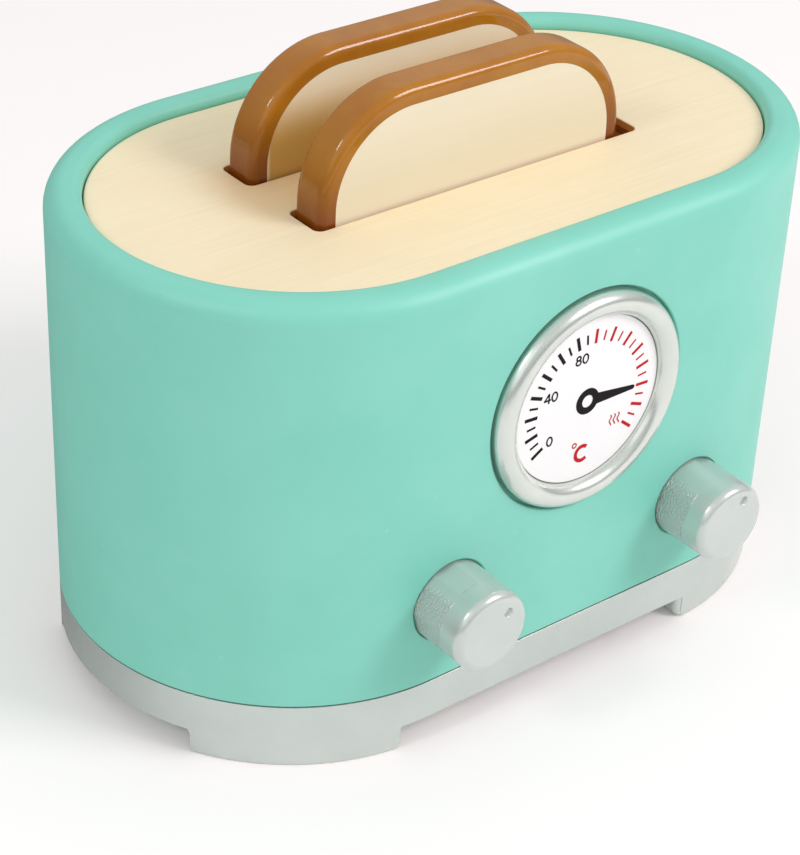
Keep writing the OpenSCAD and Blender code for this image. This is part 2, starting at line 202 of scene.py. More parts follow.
def round_rect(
    width: float, height: float, radii: Sequence[float], steps: int = 12, grow: float = 0.0
) -> list[Flat]:
    """A rectangle with round corners, centred, anticlockwise.

    Args:
        width: Size along the first axis.
        height: Size along the second axis.
        radii: Radius of the lower right, upper right, upper left and lower left corner.
        steps: Steps in each corner.
        grow: How far outside that shape the outline runs.

    Returns:
        The outline's points, with as many for every choice of radii.
    """
    points: list[Flat] = []
    for corner, radius in enumerate(radii):
        right = 1 if corner in (0, 1) else -1
        upper = 1 if corner in (1, 2) else -1
        middle = (right * (width / 2 - radius), upper * (height / 2 - radius))
        points += arc(middle, radius + grow, 90 * (corner - 1), 90 * corner, steps)
    return points


def round_ended(run: float, radius: float, steps: int = 72) -> list[Flat]:
    """The outline of a shape with two half round ends, anticlockwise.

    Args:
        run: Half the length of the straight sides.
        radius: Radius of the ends.
        steps: Steps in each end.

    Returns:
        The outline's points, with as many for every radius.
    """
    return arc((run, 0), radius, -90, 90, steps) + arc((-run, 0), radius, 90, 270, steps)


def ribbon(path: Sequence[Flat], width: float, closed: bool = False) -> list[list[Flat]]:
    """The outline of a printed stroke that follows a path.

    Args:
        path: Points along the middle of the stroke.
        width: Width of the stroke.
        closed: Whether the stroke runs back to its start.

    Returns:
        One outline for an open stroke, or the outer and the inner one for a closed stroke.
    """
    left: list[Flat] = []
    right: list[Flat] = []
    last = len(path) - 1
    half = width / 2
    for i, (x, y) in enumerate(path):
        before = path[i - 1] if closed or i > 0 else path[0]
        after = path[(i + 1) % len(path)] if closed or i < last else path[last]
        run = Vector((after[0] - before[0], after[1] - before[1])).normalized()
        left.append((x - run.y * half, y + run.x * half))
        right.append((x + run.y * half, y - run.x * half))
    if closed:
        return [left, right]
    return [right + left[::-1]]


# ---- Meshes ----


def stand(name: str, data: bpy.types.ID) -> bpy.types.Object:
    """Put a new object into the scene.

    Args:
        name: Name of the object.
        data: Its mesh, light or camera.

    Returns:
        The object.
    """
    made = bpy.data.objects.new(name, data)
    bpy.context.scene.collection.objects.link(made)
    return made


class Skin:
    """Points in millimetres and the faces between them, gathered into one mesh."""

    def __init__(self) -> None:
        """Start with no points and no faces."""
        self.points: list[Vector] = []
        self.faces: list[tuple[int, ...]] = []
        self.finishes: list[int] = []

    def ring(self, points: Iterable[Sequence[float]]) -> list[int]:
        """Add points.

        Args:
            points: The points in order.

        Returns:
            The numbers of the points.
        """
        first = len(self.points)
        self.points.extend(Vector(point) for point in points)
        return list(range(first, len(self.points)))

    def face(self, corners: Sequence[int], finish: int = 0) -> None:
        """Add one face, with one of the piece's finishes."""
        self.faces.append(tuple(corners))
        self.finishes.append(finish)

    def bridge(self, low: Sequence[int], high: Sequence[int]) -> None:
        """Join two closed rings of as many points with a band of faces.

        Args:
            low: Numbers of the first ring's points.
            high: Numbers of the second ring's points.
        """
        for i, corner in enumerate(low):
            j = (i + 1) % len(low)
            self.face((corner, low[j], high[j], high[i]))

    def stack(self, rings: Sequence[Sequence[int]], closed: bool = False, caps: Caps = (0, 0)) -> None:
        """Join rings one after the other, and cap the first and last unless they meet.

        Args:
            rings: The rings' point numbers in order.
            closed: Whether the last ring joins the first one.
            caps: Which of the piece's finishes the two caps have.
        """
        for low, high in zip(rings, rings[1:]):
            self.bridge(low, high)
        if closed:
            self.bridge(rings[-1], rings[0])
            return
        self.face(rings[0][::-1], caps[0])
        self.face(rings[-1], caps[1])

    def loft(
        self, sections: Iterable[Section], place: Placing, closed: bool = False, caps: Caps = (0, 0)
    ) -> "Skin":
        """Join flat outlines of as many points, one above the other.

        Args:
            sections: Each outline and its height.
            place: Puts a point across, up and out in its place.
            closed: Whether the last outline joins the first one.
            caps: Which of the piece's finishes the two caps have.

        Returns:
            This skin.
        """
        rings = [self.ring(place(x, y, height) for x, y in outline) for outline, height in sections]
        self.stack(rings, closed, caps)
        return self

    def turned(
        self, profile: Sequence[Flat], place: Placing, steps: int = 96, closed: bool = False
    ) -> "Skin":
        """Turn a profile round an axis.

        Args:
            profile: Radius and height of each point.
            place: Puts a point across, up and out of the axis in its place.
            steps: Steps round the axis.
            closed: Whether the profile closes on itself, as a ring's does.

        Returns:
            This skin.
        """
        return self.loft([(circle(radius, steps), height) for radius, height in profile], place, closed)

    def slab(self, outlines: Sequence[Sequence[Flat]], low: float, high: float, place: Placing) -> None:
        """Give a flat shape a thickness.

        Args:
            outlines: The outer outline, and then those of its holes.
            low: Height of the lower side.
            high: Height of the upper side.
            place: Puts a point across, up and out in its place.
        """
        floors = [self.ring(place(x, y, low) for x, y in outline) for outline in outlines]
        roofs = [self.ring(place(x, y, high) for x, y in outline) for outline in outlines]
        for below, above in zip(floors, roofs):
            self.bridge(below, above)
        floor, roof = sum(floors, []), sum(roofs, [])
        if len(outlines) == 1:
            self.face(floor[::-1])
            self.face(roof)
            return
        for corners in tessellate_polygon([[Vector((x, y, 0)) for x, y in outline] for outline in outlines]):
            self.face([roof[c] for c in corners])
            self.face([floor[c] for c in reversed(corners)])

    def piece(self, name: str, finishes: Sequence[Material], crease: float = 35.0) -> bpy.types.Object:
        """Make the object, smooth but for its sharp edges.

        Args:
            name: Name of the piece.
            finishes: Its materials, in the order that the faces number them.
            crease: Angle in degrees from which an edge stays sharp.

        Returns:
            The new object, in the scene.
        """
        mesh = bpy.data.meshes.new(name)
        mesh.from_pydata([point * MM for point in self.points], [], self.faces)
        mesh.polygons.foreach_set("material_index", self.finishes)
        for finish in finishes:
            mesh.materials.append(finish)
        made = stand(name, mesh)
        soften(made, crease)
        return made


def soften(piece: bpy.types.Object, crease: float) -> None:
    """Merge double points, turn the faces outwards and shade them smooth between sharp edges.

    Args:
        piece: The object to treat, which has no modifiers yet.
        crease: Angle in degrees from which an edge stays sharp.
    """
    work = bmesh.new()
    work.from_mesh(piece.data)
    bmesh.ops.remove_doubles(work, verts=work.verts, dist=1e-7)
    bmesh.ops.triangulate(work, faces=[face for face in work.faces if len(face.verts) > 4])
    bmesh.ops.recalc_face_normals(work, faces=work.faces)
    work.to_mesh(piece.data)
    work.free()
    piece.data.shade_smooth()
    piece.data.set_sharp_from_angle(angle=math.radians(crease))
    even = piece.modifiers.new("even_shading", "WEIGHTED_NORMAL")
    even.keep_sharp = True


def carve(piece: bpy.types.Object, cutter: Skin, crease: float = 35.0) -> None:
    """Cut a shape out of a piece.

    Args:
        piece: The object that is cut.
        cutter: The closed shapes that are taken away.
        crease: Angle in degrees from which an edge stays sharp.
    """
    tool = cutter.piece("cutter", [])
    for thing in (tool, piece):
        thing.modifiers.clear()
    cut = piece.modifiers.new("cut", "BOOLEAN")
    cut.operation = "DIFFERENCE"
    cut.solver = "EXACT"
    cut.object = tool
    bpy.context.view_layer.update()
    graph = bpy.context.evaluated_depsgraph_get()
    result = bpy.data.meshes.new_from_object(piece.evaluated_get(graph))
    result.name = piece.name
    piece.modifiers.clear()
    piece.data = result
    bpy.data.objects.remove(tool)
    soften(piece, crease)


def paint_faces(piece: bpy.types.Object, rule: Callable[[Vector, Vector], bool]) -> None:
    """Choose the first or the second finish for each face from its place.

    Args:
        piece: The object to treat.
        rule: Says from a face's middle in millimetres and its normal whether it has the second.
    """
    for face in piece.data.polygons:
        face.material_index = int(rule(face.center / MM, face.normal))


# ---- Shader nodes ----


def srgb(colour: Colour) -> tuple[float, float, float, float]:
    """Turn a colour as seen on a screen into the values that shaders take.

    Args:
        colour: Red, green and blue from 0 to 255.

    Returns:
        Linear red, green and blue, and full opacity.
    """
    shares = [c / 255 for c in colour]
    linear = [s / 12.92 if s <= 0.04045 else ((s + 0.055) / 1.055) ** 2.4 for s in shares]
    return (linear[0], linear[1], linear[2], 1.0)


class Shading:
    """Adds nodes to one tree, of a material, a group or the world."""

    def __init__(self, tree: bpy.types.NodeTree) -> None:
        """Keep the tree."""
        self.tree = tree

    def feed(self, node: bpy.types.Node, inputs: Inputs) -> bpy.types.Node:
        """Link or set a node's inputs.

        Args:
            node: The node.
            inputs: A socket to link or a value to set, for each input's name or number.

        Returns:
            The node.
        """
        for key, value in inputs.items():
            if isinstance(value, Socket):
                self.tree.links.new(value, node.inputs[key])
            else:
                node.inputs[key].default_value = value
        return node

    def node(self, kind: str, inputs: Inputs | None = None, **settings: object) -> bpy.types.Node:
        """Add a node.

        Args:
            kind: The node's type, without its ShaderNode prefix.
            inputs: A socket to link or a value to set, for each input's name or number.
            **settings: Other properties of the node.

        Returns:
            The new node.
        """
        made = self.tree.nodes.new("ShaderNode" + kind)
        for key, value in settings.items():
            setattr(made, key, value)
        return self.feed(made, inputs or {})

    def place(self) -> Socket:
        """Give the piece's own coordinates, in metres."""
        return self.node("TexCoord").outputs["Object"]

    def axes(self, vector: Socket) -> Sockets:
        """Give coordinates one by one, as X, Y and Z."""
        return self.node("SeparateXYZ", {"Vector": vector}).outputs

    def away(self, coordinate: Socket, middle: float) -> Socket:
        """Give the distance in metres from a middle in millimetres."""
        return self.math("ABSOLUTE", self.math("SUBTRACT", coordinate, middle * MM))

    def stretch(self, vector: Socket, scale: Sequence[float]) -> Socket:
        """Scale coordinates, each axis by its own number."""
        return self.node("Mapping", {"Vector": vector, "Scale": scale}).outputs["Vector"]

    def noise(self, vector: Socket, scale: object, detail: float = 3.0, rough: float = 0.5) -> Socket:
        """Add a cloudy noise and give its value."""
        inputs = {"Vector": vector, "Scale": scale, "Detail": detail, "Roughness": rough}
        return self.node("TexNoise", inputs).outputs["Fac"]

    def cells(self, vector: Socket, scale: object) -> tuple[Socket, Socket]:
        """Add cells, and give the distance from their middles and a number of its own for each cell."""
        made = self.node("TexVoronoi", {"Vector": vector, "Scale": scale}).outputs
        return made["Distance"], self.node("SeparateColor", {"Color": made["Color"]}).outputs["Red"]

    def math(self, operation: str, *values: object) -> Socket:
        """Add a sum of one to three values and give its result."""
        return self.node("Math", dict(enumerate(values)), operation=operation).outputs[0]

    def span(self, value: object, low: object, high: object, to: Flat = (0, 1)) -> Socket:
        """Map a value from one span to another, and hold it inside."""
        inputs = {"Value": value, "From Min": low, "From Max": high, "To Min": to[0], "To Max": to[1]}
        return self.node("MapRange", inputs, interpolation_type="SMOOTHSTEP").outputs["Result"]

    def mix(self, share: object, first: object, second: object) -> Socket:
        """Mix two colours and give the result."""
        return self.node("Mix", {0: share, 6: first, 7: second}, data_type="RGBA").outputs[2]

    def tones(
        self, value: object, first: Colour, second: Colour, low: float = 0.3, high: float = 0.7
    ) -> Socket:
        """Go from one screen colour to another as a value rises from low to high."""
        return self.mix(self.span(value, low, high), srgb(first), srgb(second))

    def bump(self, height: Socket, distance: float, under: Socket | None = None) -> Socket:
        """Turn a height into a normal.

        Args:
            height: The height, from 0 to 1.
            distance: How far a full height stands up, in metres.
            under: Another normal that this one lies on.

        Returns:
            The normal.
        """
        inputs = {"Height": height, "Distance": distance}
        if under is not None:
            inputs["Normal"] = under
        return self.node("Bump", inputs).outputs["Normal"]

    def effect(self, shared: "Effect", inputs: Inputs) -> Sockets:
        """Place a shared effect with its own values.

        Args:
            shared: The effect.
            inputs: A socket or a value for each input that differs from the effect's own.

        Returns:
            Its outputs by name.
        """
        made = self.tree.nodes.new("ShaderNodeGroup")
        made.node_tree = bpy.data.node_groups.get(shared.name) or shared.build()
        return self.feed(made, inputs).outputs


@dataclass(frozen=True)
class Effect:
    """An effect that several finishes share, as a node group with named inputs and outputs."""

    name: str
    inputs: dict[str, object]
    fill: Callable[[Shading, Sockets], dict[str, Socket]]

    def build(self) -> bpy.types.NodeTree:
        """Build the group; an input without a value takes coordinates.

        Returns:
            The node group.
        """
        group = bpy.data.node_groups.new(self.name, "ShaderNodeTree")
        for key, value in self.inputs.items():
            kind = "Vector" if value is None else "Color" if isinstance(value, tuple) else "Float"
            made = group.interface.new_socket(name=key, in_out="INPUT", socket_type="NodeSocket" + kind)
            if value is not None:
                made.default_value = value
        inside = Shading(group)
        results = self.fill(inside, group.nodes.new("NodeGroupInput").outputs)
        for key, socket in results.items():
            kind = "Color" if socket.type == "RGBA" else "Float"
            group.interface.new_socket(name=key, in_out="OUTPUT", socket_type="NodeSocket" + kind)
        inside.feed(group.nodes.new("NodeGroupOutput"), results)
        return group


def paint_skin(inside: Shading, given: Sockets) -> dict[str, Socket]:
    """The skin of sprayed paint: a faint peel, a soft mottle and a few dust specks.

    Args:
        inside: Adds the nodes.
        given: The group's inputs.

    Returns:
        The height, the mottle and the specks.
    """
    peel = inside.noise(given["Vector"], given["Peel Scale"], 2.0, 0.45)
    mottle = inside.noise(given["Vector"], given["Mottle Scale"], 4.0, 0.6)
    distance, number = inside.cells(given["Vector"], given["Speck Scale"])
    rare = inside.math("GREATER_THAN", number, 0.955)
    specks = inside.math("MULTIPLY", rare, inside.span(distance, 0.05, 0.13, (1, 0)))
    height = inside.math("ADD", peel, inside.math("MULTIPLY", specks, 0.8))
    return {"Height": height, "Mottle": mottle, "Specks": specks}


def metal_flake(inside: Shading, given: Sockets) -> dict[str, Socket]:
    """Fine flakes in a metallic paint.

    Args:
        inside: Adds the nodes.
        given: The group's inputs.

    Returns:
        The sparkle.
    """
    tilt = inside.cells(given["Vector"], given["Flake Scale"])[1]
    start = inside.math("SUBTRACT", 1.0, given["Share"])
    return {"Sparkle": inside.span(tilt, start, 1.0)}


def wood_grain(inside: Shading, given: Sockets) -> dict[str, Socket]:
    """Long fibres, short flecks and a soft cloudiness in sanded wood, with the grain along X.

    Args:
        inside: Adds the nodes.
        given: The group's inputs.

    Returns:
        The colour and the height.
    """
    long_way = inside.stretch(given["Vector"], (0.03, 1.0, 1.0))
    short_way = inside.stretch(given["Vector"], (0.16, 1.0, 1.0))
    fibres = inside.noise(long_way, given["Fibre Scale"], 4.0, 0.6)
    bands = inside.noise(long_way, inside.math("MULTIPLY", given["Fibre Scale"], 0.16), 3.0, 0.55)
    clouds = inside.noise(given["Vector"], given["Cloud Scale"], 4.0, 0.6)
    start = inside.math("SUBTRACT", 0.84, inside.math("MULTIPLY", given["Fleck Share"], 0.3))
    flecks = inside.span(inside.noise(short_way, given["Fibre Scale"], 2.0, 0.5), start, 0.86)
    wide = inside.math("MULTIPLY", bands, given["Band Share"])
    fine = inside.math("MULTIPLY", fibres, inside.math("SUBTRACT", 0.6, given["Band Share"]))
    whole = inside.math("ADD", inside.math("ADD", wide, fine), inside.math("MULTIPLY", clouds, 0.4))
    broad = inside.span(whole, 0.34, 0.68, (0, 0.75))
    share = inside.math("ADD", broad, inside.math("MULTIPLY", flecks, 0.25))
    height = inside.math("SUBTRACT", fibres, inside.math("MULTIPLY", flecks, 0.6))
    return {"Color": inside.mix(share, given["Light"], given["Dark"]), "Height": height}


def plies(inside: Shading, given: Sockets) -> dict[str, Socket]:
    """The cut edge of plywood: layers of long and end grain down from its top.

    Args:
        inside: Adds the nodes.
        given: The group's inputs.

    Returns:
        The colour and the height.
    """
    waver = inside.math("MULTIPLY", inside.noise(given["Vector"], 220.0, 2.0), 0.00035)
    below = inside.math("SUBTRACT", given["Top"], inside.axes(given["Vector"])["Z"])
    depth = inside.math("ADD", below, waver)
    turn = inside.math("FRACT", inside.math("DIVIDE", depth, inside.math("MULTIPLY", given["Ply"], 2.0)))
    rise, fall = inside.span(turn, 0.46, 0.54), inside.span(turn, 0.93, 1.0, (1, 0))
    cross = inside.math("SMOOTH_MIN", rise, fall, 0.1)
    pores = inside.noise(inside.stretch(given["Vector"], (1.0, 1.0, 0.35)), 1500.0, 3.0, 0.6)
    share = inside.math("ADD", inside.math("MULTIPLY", cross, 0.7), inside.math("MULTIPLY", pores, 0.35))
    return {"Color": inside.mix(share, given["Light"], given["Dark"]), "Height": pores}


WOOD_TONES = {"Light": (0.9, 0.8, 0.6, 1.0), "Dark": (0.6, 0.4, 0.2, 1.0)}
PLY_TONES = {"Light": (0.9, 0.7, 0.4, 1.0), "Dark": (0.4, 0.2, 0.1, 1.0)}
GRAIN_SIZES = {"Fibre Scale": 900.0, "Fleck Share": 0.3, "Band Share": 0.3, "Cloud Scale": 26.0}
PAINT_SIZES = {"Peel Scale": 700.0, "Mottle Scale": 28.0, "Speck Scale": 160.0}
PAINT_SKIN = Effect("Paint Skin", {"Vector": None, **PAINT_SIZES}, paint_skin)
METAL_FLAKE = Effect("Metal Flake", {"Vector": None, "Flake Scale": 5200.0, "Share": 0.3}, metal_flake)
WOOD_GRAIN = Effect("Wood Grain", {"Vector": None, **WOOD_TONES, **GRAIN_SIZES}, wood_grain)
PLIES = Effect("Plies", {"Vector": None, "Top": 0.1234, "Ply": 0.0019, **PLY_TONES}, plies)


# ---- Finishes ----


@dataclass(frozen=True)
class Finish:
    """A finish; each kind of finish says what feeds its shader."""

    name: str

    def inputs(self, tree: Shading) -> dict[str, object]:
        """Make the nodes that feed the shader.

        Args:
            tree: The material's tree.

        Returns:
            A socket or a value for each input of the shader that this finish sets.
        """
        raise NotImplementedError

    def material(self) -> Material:
        """Make the material, with one Principled BSDF.

        Returns:
            The material.
        """
        made = bpy.data.materials.new(self.name)
        made.use_nodes = True
        made.node_tree.nodes.clear()
        tree = Shading(made.node_tree)
        shader = tree.node("BsdfPrincipled", self.inputs(tree))
        tree.node("OutputMaterial", {"Surface": shader.outputs["BSDF"]})
        return made


@dataclass(frozen=True)
class SatinPaint(Finish):
    """Sprayed satin paint on sanded wood."""

    colour: Colour
    shade: Colour
    roughness: float = 0.5
    peel: float = 0.000012
    speck: float = 0.06
    gloss: float = 0.5

    def inputs(self, tree: Shading) -> dict[str, object]:
        """Make the nodes that feed the shader.

        Args:
            tree: The material's tree.

        Returns:
            What feeds each input.
        """
        skin = tree.effect(PAINT_SKIN, {"Vector": tree.place()})
        base = tree.tones(skin["Mottle"], self.colour, self.shade)
        return {
            "Base Color": tree.mix(tree.math("MULTIPLY", skin["Specks"], self.speck), base, WHITE),
            "Roughness": tree.span(skin["Mottle"], 0.2, 0.8, (self.roughness - 0.03, self.roughness + 0.04)),
            "Specular IOR Level": self.gloss,
            "Normal": tree.bump(skin["Height"], self.peel),
        }


@dataclass(frozen=True)
class SilverPaint(Finish):
    """Silver paint with fine flakes; where it lies on end grain, ridges show through."""

    colour: Colour = (203, 211, 207)
    shade: Colour = (198, 206, 202)
    metallic: float = 0.65
    roughness: float = 0.25
    glint: float = 0.05
    peel: float = 0.000004
    axis: Sequence[float] | None = None
    grain_from: float = 0.0
    grain_angle: float = 0.0
    ridge: float = 0.00019

    def inputs(self, tree: Shading) -> dict[str, object]:
        """Make the nodes that feed the shader.

        Args:
            tree: The material's tree.

        Returns:
            What feeds each input.
        """
        place = tree.place()
        skin = tree.effect(PAINT_SKIN, {"Vector": place, "Peel Scale": 900.0, "Mottle Scale": 60.0})
        sparkle = tree.effect(METAL_FLAKE, {"Vector": place})["Sparkle"]
        base = tree.tones(skin["Mottle"], self.colour, self.shade)
        normal = tree.bump(skin["Height"], self.peel)
        if self.axis is not None:
            normal = tree.bump(self.end_grain(tree, place), self.ridge, normal)
        return {
            "Base Color": tree.mix(tree.math("MULTIPLY", sparkle, self.glint), base, WHITE),
            "Metallic": self.metallic,
            "Roughness": tree.span(sparkle, 0.0, 1.0, (self.roughness, self.roughness - 0.03)),
            "Normal": normal,
        }

    def end_grain(self, tree: Shading, place: Socket) -> Socket:
        """Make the ridges on the two sides of a turned piece where its end grain lies.

        Args:
            tree: The material's tree.
            place: The piece's coordinates.

        Returns:
            The height of the ridges.
        """
        origin = [-c * MM for c in self.axis]
        local = tree.node("Mapping", {"Vector": place, "Location": origin}).outputs["Vector"]
        spread = tree.axes(local)
        angle = tree.math("ARCTAN2", spread["X"], spread["Z"])
        swing = tree.math("COSINE", tree.math("SUBTRACT", angle, math.radians(self.grain_angle)))
        sides = tree.span(tree.math("ABSOLUTE", swing), 0.68, 0.86)
        waves = tree.noise(tree.stretch(local, (0.7, 1.0, 0.7)), 2100.0, 2.0, 0.5)
        behind = tree.span(spread["Y"], (self.grain_from - 0.3) * MM, (self.grain_from + 0.5) * MM)
        return tree.math("MULTIPLY", tree.span(waves, 0.4, 0.6), tree.math("MULTIPLY", sides, behind))


@dataclass(frozen=True)
class BareWood(Finish):
    """Sanded wood with its own grain."""

    light: Colour
    dark: Colour
    along: Along = Along.LENGTH
    roughness: float = 0.55
    fibre: float = 900.0
    fleck: float = 0.3
    band: float = 0.3
    cloud: float = 26.0
    depth: float = 0.00003
    # Painted warm shade: this colour is laid over the grain where bounced light and shade fall, by the share
    # that a kind of wood gives; plain wood gives none.
    painted_shade_colour: Colour = (232, 186, 124)
    middle: Flat = (0.0, 0.0)
    reach: Flat = (0.0, 0.0)
    share: float = 0.0

    def painted_shade_share(self, tree: Shading) -> object:
        """Give the share of the painted warm shade: none on plain wood."""
        return 0.0

    def inputs(self, tree: Shading) -> dict[str, object]:
        """Make the nodes that feed the shader.

        Args:
            tree: The material's tree.

        Returns:
            What feeds each input.
        """
        laid = tree.node("Mapping", {"Vector": tree.place(), "Rotation": self.along.value})
        values = {
            "Vector": laid.outputs["Vector"],
            "Light": srgb(self.light),
            "Dark": srgb(self.dark),
            "Fibre Scale": self.fibre,
            "Fleck Share": self.fleck,
            "Band Share": self.band,
            "Cloud Scale": self.cloud,
        }
        grain = tree.effect(WOOD_GRAIN, values)
        return {
            # The grain turns towards the colour of the painted warm shade, by its share.
            "Base Color": tree.mix(self.painted_shade_share(tree), grain["Color"], srgb(self.painted_shade_colour)),
            "Roughness": tree.span(grain["Height"], 0.2, 0.8, (self.roughness + 0.06, self.roughness - 0.04)),
            "Normal": tree.bump(grain["Height"], self.depth),
        }


@dataclass(frozen=True)
class SlottedTop(BareWood):
    """The plywood top, with painted warm shade round its slots, where the crusts bounce light and the slices
    cast shade.
    """

    # Painted warm shade round the slots: its middle's shift from the top's middle, its full reach, its fade
    # and its share.
    shift: Flat = (-14.0, 6.0)
    reach: Flat = (34.0, 6.0)
    fade: float = 17.0
    share: float = 0.52

    def painted_shade_share(self, tree: Shading) -> object:
        """Give the painted warm shade's share, full over the slots and fading away from them.

        Args:
            tree: The material's tree.

        Returns:
            The share, from 0 to 1.
        """
        spread = tree.axes(tree.place())
        squares = []
        for axis, middle, shift, reach in zip("XY", self.middle, self.shift, self.reach):
            past = tree.math("SUBTRACT", tree.away(spread[axis], middle + shift), reach * MM)
            gap = tree.math("MAXIMUM", past, 0.0)
            squares.append(tree.math("MULTIPLY", gap, gap))
        distance = tree.math("SQRT", tree.math("ADD", *squares))
        return tree.span(distance, 0.0, self.fade * MM, (self.share, 0.0))


@dataclass(frozen=True)
class ToastFace(BareWood):
    """The pale face of a slice, with painted golden shade over its middle that fades out towards a soft rim
    along its crust.
    """

    rim: Flat = (1.2, 17.0)

    def painted_shade_share(self, tree: Shading) -> object:
        """Give the painted golden shade's share, full in the middle and fading towards the crust.

        Args:
            tree: The material's tree.

        Returns:
            The share, from 0 to 1.
        """
        spread = tree.axes(tree.place())
        shares = []
        for axis, middle, reach, rim in zip("XZ", self.middle, self.reach, self.rim):
            inwards = tree.math("SUBTRACT", reach * MM, tree.away(spread[axis], middle))
            shares.append(tree.span(inwards, 0.0, rim * MM))
        return tree.math("MULTIPLY", self.share, tree.math("MULTIPLY", *shares))


@dataclass(frozen=True)
class PlyEdge(Finish):
    """The cut edge of the plywood top."""

    top: float
    light: Colour = (240, 166, 72)
    dark: Colour = (152, 76, 26)
    ply: float = 2.1
    roughness: float = 0.7
    depth: float = 0.00008

    def inputs(self, tree: Shading) -> dict[str, object]:
        """Make the nodes that feed the shader.

        Args:
            tree: The material's tree.

        Returns:
            What feeds each input.
        """
        values = {"Vector": tree.place(), "Top": self.top * MM, "Ply": self.ply * MM}
        edge = tree.effect(PLIES, {**values, "Light": srgb(self.light), "Dark": srgb(self.dark)})
        return {
            "Base Color": edge["Color"],
            "Roughness": self.roughness,
            "Normal": tree.bump(edge["Height"], self.depth),
        }


@dataclass(frozen=True)
class ToastPaint(Finish):
    """Thick glossy brown paint with slow brush-soft changes of tone, and painted shade that darkens it
    towards the plywood top, where the slice stands in its slot.
    """

    floor: float
    colour: Colour = (174, 115, 16)
    shade: Colour = (160, 99, 12)
    # Painted shade near the slots: its colour, its share at the foot, and the heights above the top over
    # which it fades out.
    slot_shade: Colour = (112, 44, 14)
    slot_shade_share: float = 0.85
    slot_shade_span: Flat = (-4.0, 20.0)
    roughness: float = 0.4
    brushed: float = 0.00007

    def inputs(self, tree: Shading) -> dict[str, object]:
        """Make the nodes that feed the shader.

        Args:
            tree: The material's tree.

        Returns:
            What feeds each input.
        """
        place = tree.place()
        skin = tree.effect(PAINT_SKIN, {"Vector": place, "Peel Scale": 900.0, "Mottle Scale": 45.0})
        # Painted shade: the crust turns darker towards the plywood top, where the slice stands in its slot.
        low, high = [(self.floor + level) * MM for level in self.slot_shade_span]
        slot_shade = tree.span(tree.axes(place)["Z"], low, high, (self.slot_shade_share, 0.0))
        tone = tree.tones(skin["Mottle"], self.colour, self.shade)
        return {
            "Base Color": tree.mix(slot_shade, tone, srgb(self.slot_shade)),
            "Roughness": tree.span(skin["Mottle"], 0.2, 0.8, (self.roughness - 0.04, self.roughness + 0.05)),
            "Specular IOR Level": 0.05,
            "Coat Weight": 0.85,
            "Coat Roughness": 0.09,
            "Normal": tree.bump(skin["Height"], self.brushed),
        }


@dataclass(frozen=True)
class PrintInk(Finish):
    """Ink printed on a smooth white face, a little uneven where it is thin."""

    colour: Colour
    worn: Colour
    roughness: float = 0.7

    def inputs(self, tree: Shading) -> dict[str, object]:
        """Make the nodes that feed the shader.

        Args:
            tree: The material's tree.

        Returns:
            What feeds each input.
        """
        cover = tree.noise(tree.place(), 2600.0, 3.0, 0.6)
        return {
            "Base Color": tree.tones(cover, self.colour, self.worn, 0.45, 0.8),
            "Roughness": tree.span(cover, 0.3, 0.7, (self.roughness - 0.05, self.roughness + 0.05)),
            "Specular IOR Level": 0.15,
            "Normal": tree.bump(cover, 0.00001),
        }


@dataclass(frozen=True)
class BrightSteel(Finish):
    """Drawn steel with fine lines and a slight tarnish."""

    colour: Colour = (176, 178, 181)
    shade: Colour = (138, 137, 135)
    drawn: Sequence[float] = (1.0, 1.0, 0.05)

    def inputs(self, tree: Shading) -> dict[str, object]:
        """Make the nodes that feed the shader.

        Args:
            tree: The material's tree.

        Returns:
            What feeds each input.
        """
        place = tree.place()
        cloud = tree.noise(place, 220.0, 4.0, 0.6)
        return {
            "Base Color": tree.tones(cloud, self.colour, self.shade, 0.4, 0.75),
            "Metallic": 1.0,
            "Roughness": tree.span(cloud, 0.3, 0.7, (0.24, 0.4)),
            "Normal": tree.bump(tree.noise(tree.stretch(place, self.drawn), 4000.0, 3.0, 0.6), 0.00002),
        }


@dataclass(frozen=True)
class PaleFloor(Finish):
    """The studio floor, which pieces reflect as dimmer towards the back left."""

    colour: Colour = (247, 245, 244)
    shade: Colour = (244, 242, 241)
    dim: Colour = (112, 113, 110)
    slope: Flat = (0.2, 0.98)
    fade: Flat = (-0.09, 0.03)

    def inputs(self, tree: Shading) -> dict[str, object]:
        """Make the nodes that feed the shader.

        Args:
            tree: The material's tree.

        Returns:
            What feeds each input.
        """
        place = tree.place()
        spread = tree.axes(place)
        tone = tree.mix(tree.noise(place, 3.0, 2.0), srgb(self.colour), srgb(self.shade))
        across, back = [tree.math("MULTIPLY", spread[axis], slope) for axis, slope in zip("XY", self.slope)]
        forward = tree.span(tree.math("SUBTRACT", across, back), *self.fade)
        # Painted reflection: only glossy rays see the dim tone, which stands for a dark side of the studio
        # towards the back left.
        mirrored = tree.node("LightPath").outputs["Is Glossy Ray"]
        return {
            "Base Color": tree.mix(mirrored, tone, tree.mix(forward, srgb(self.dim), tone)),
            "Roughness": 0.6,
            "Specular IOR Level": 0.2,
            "Emission Color": (1.0, 0.97, 0.96, 1.0),
            "Emission Strength": 0.06,
        }


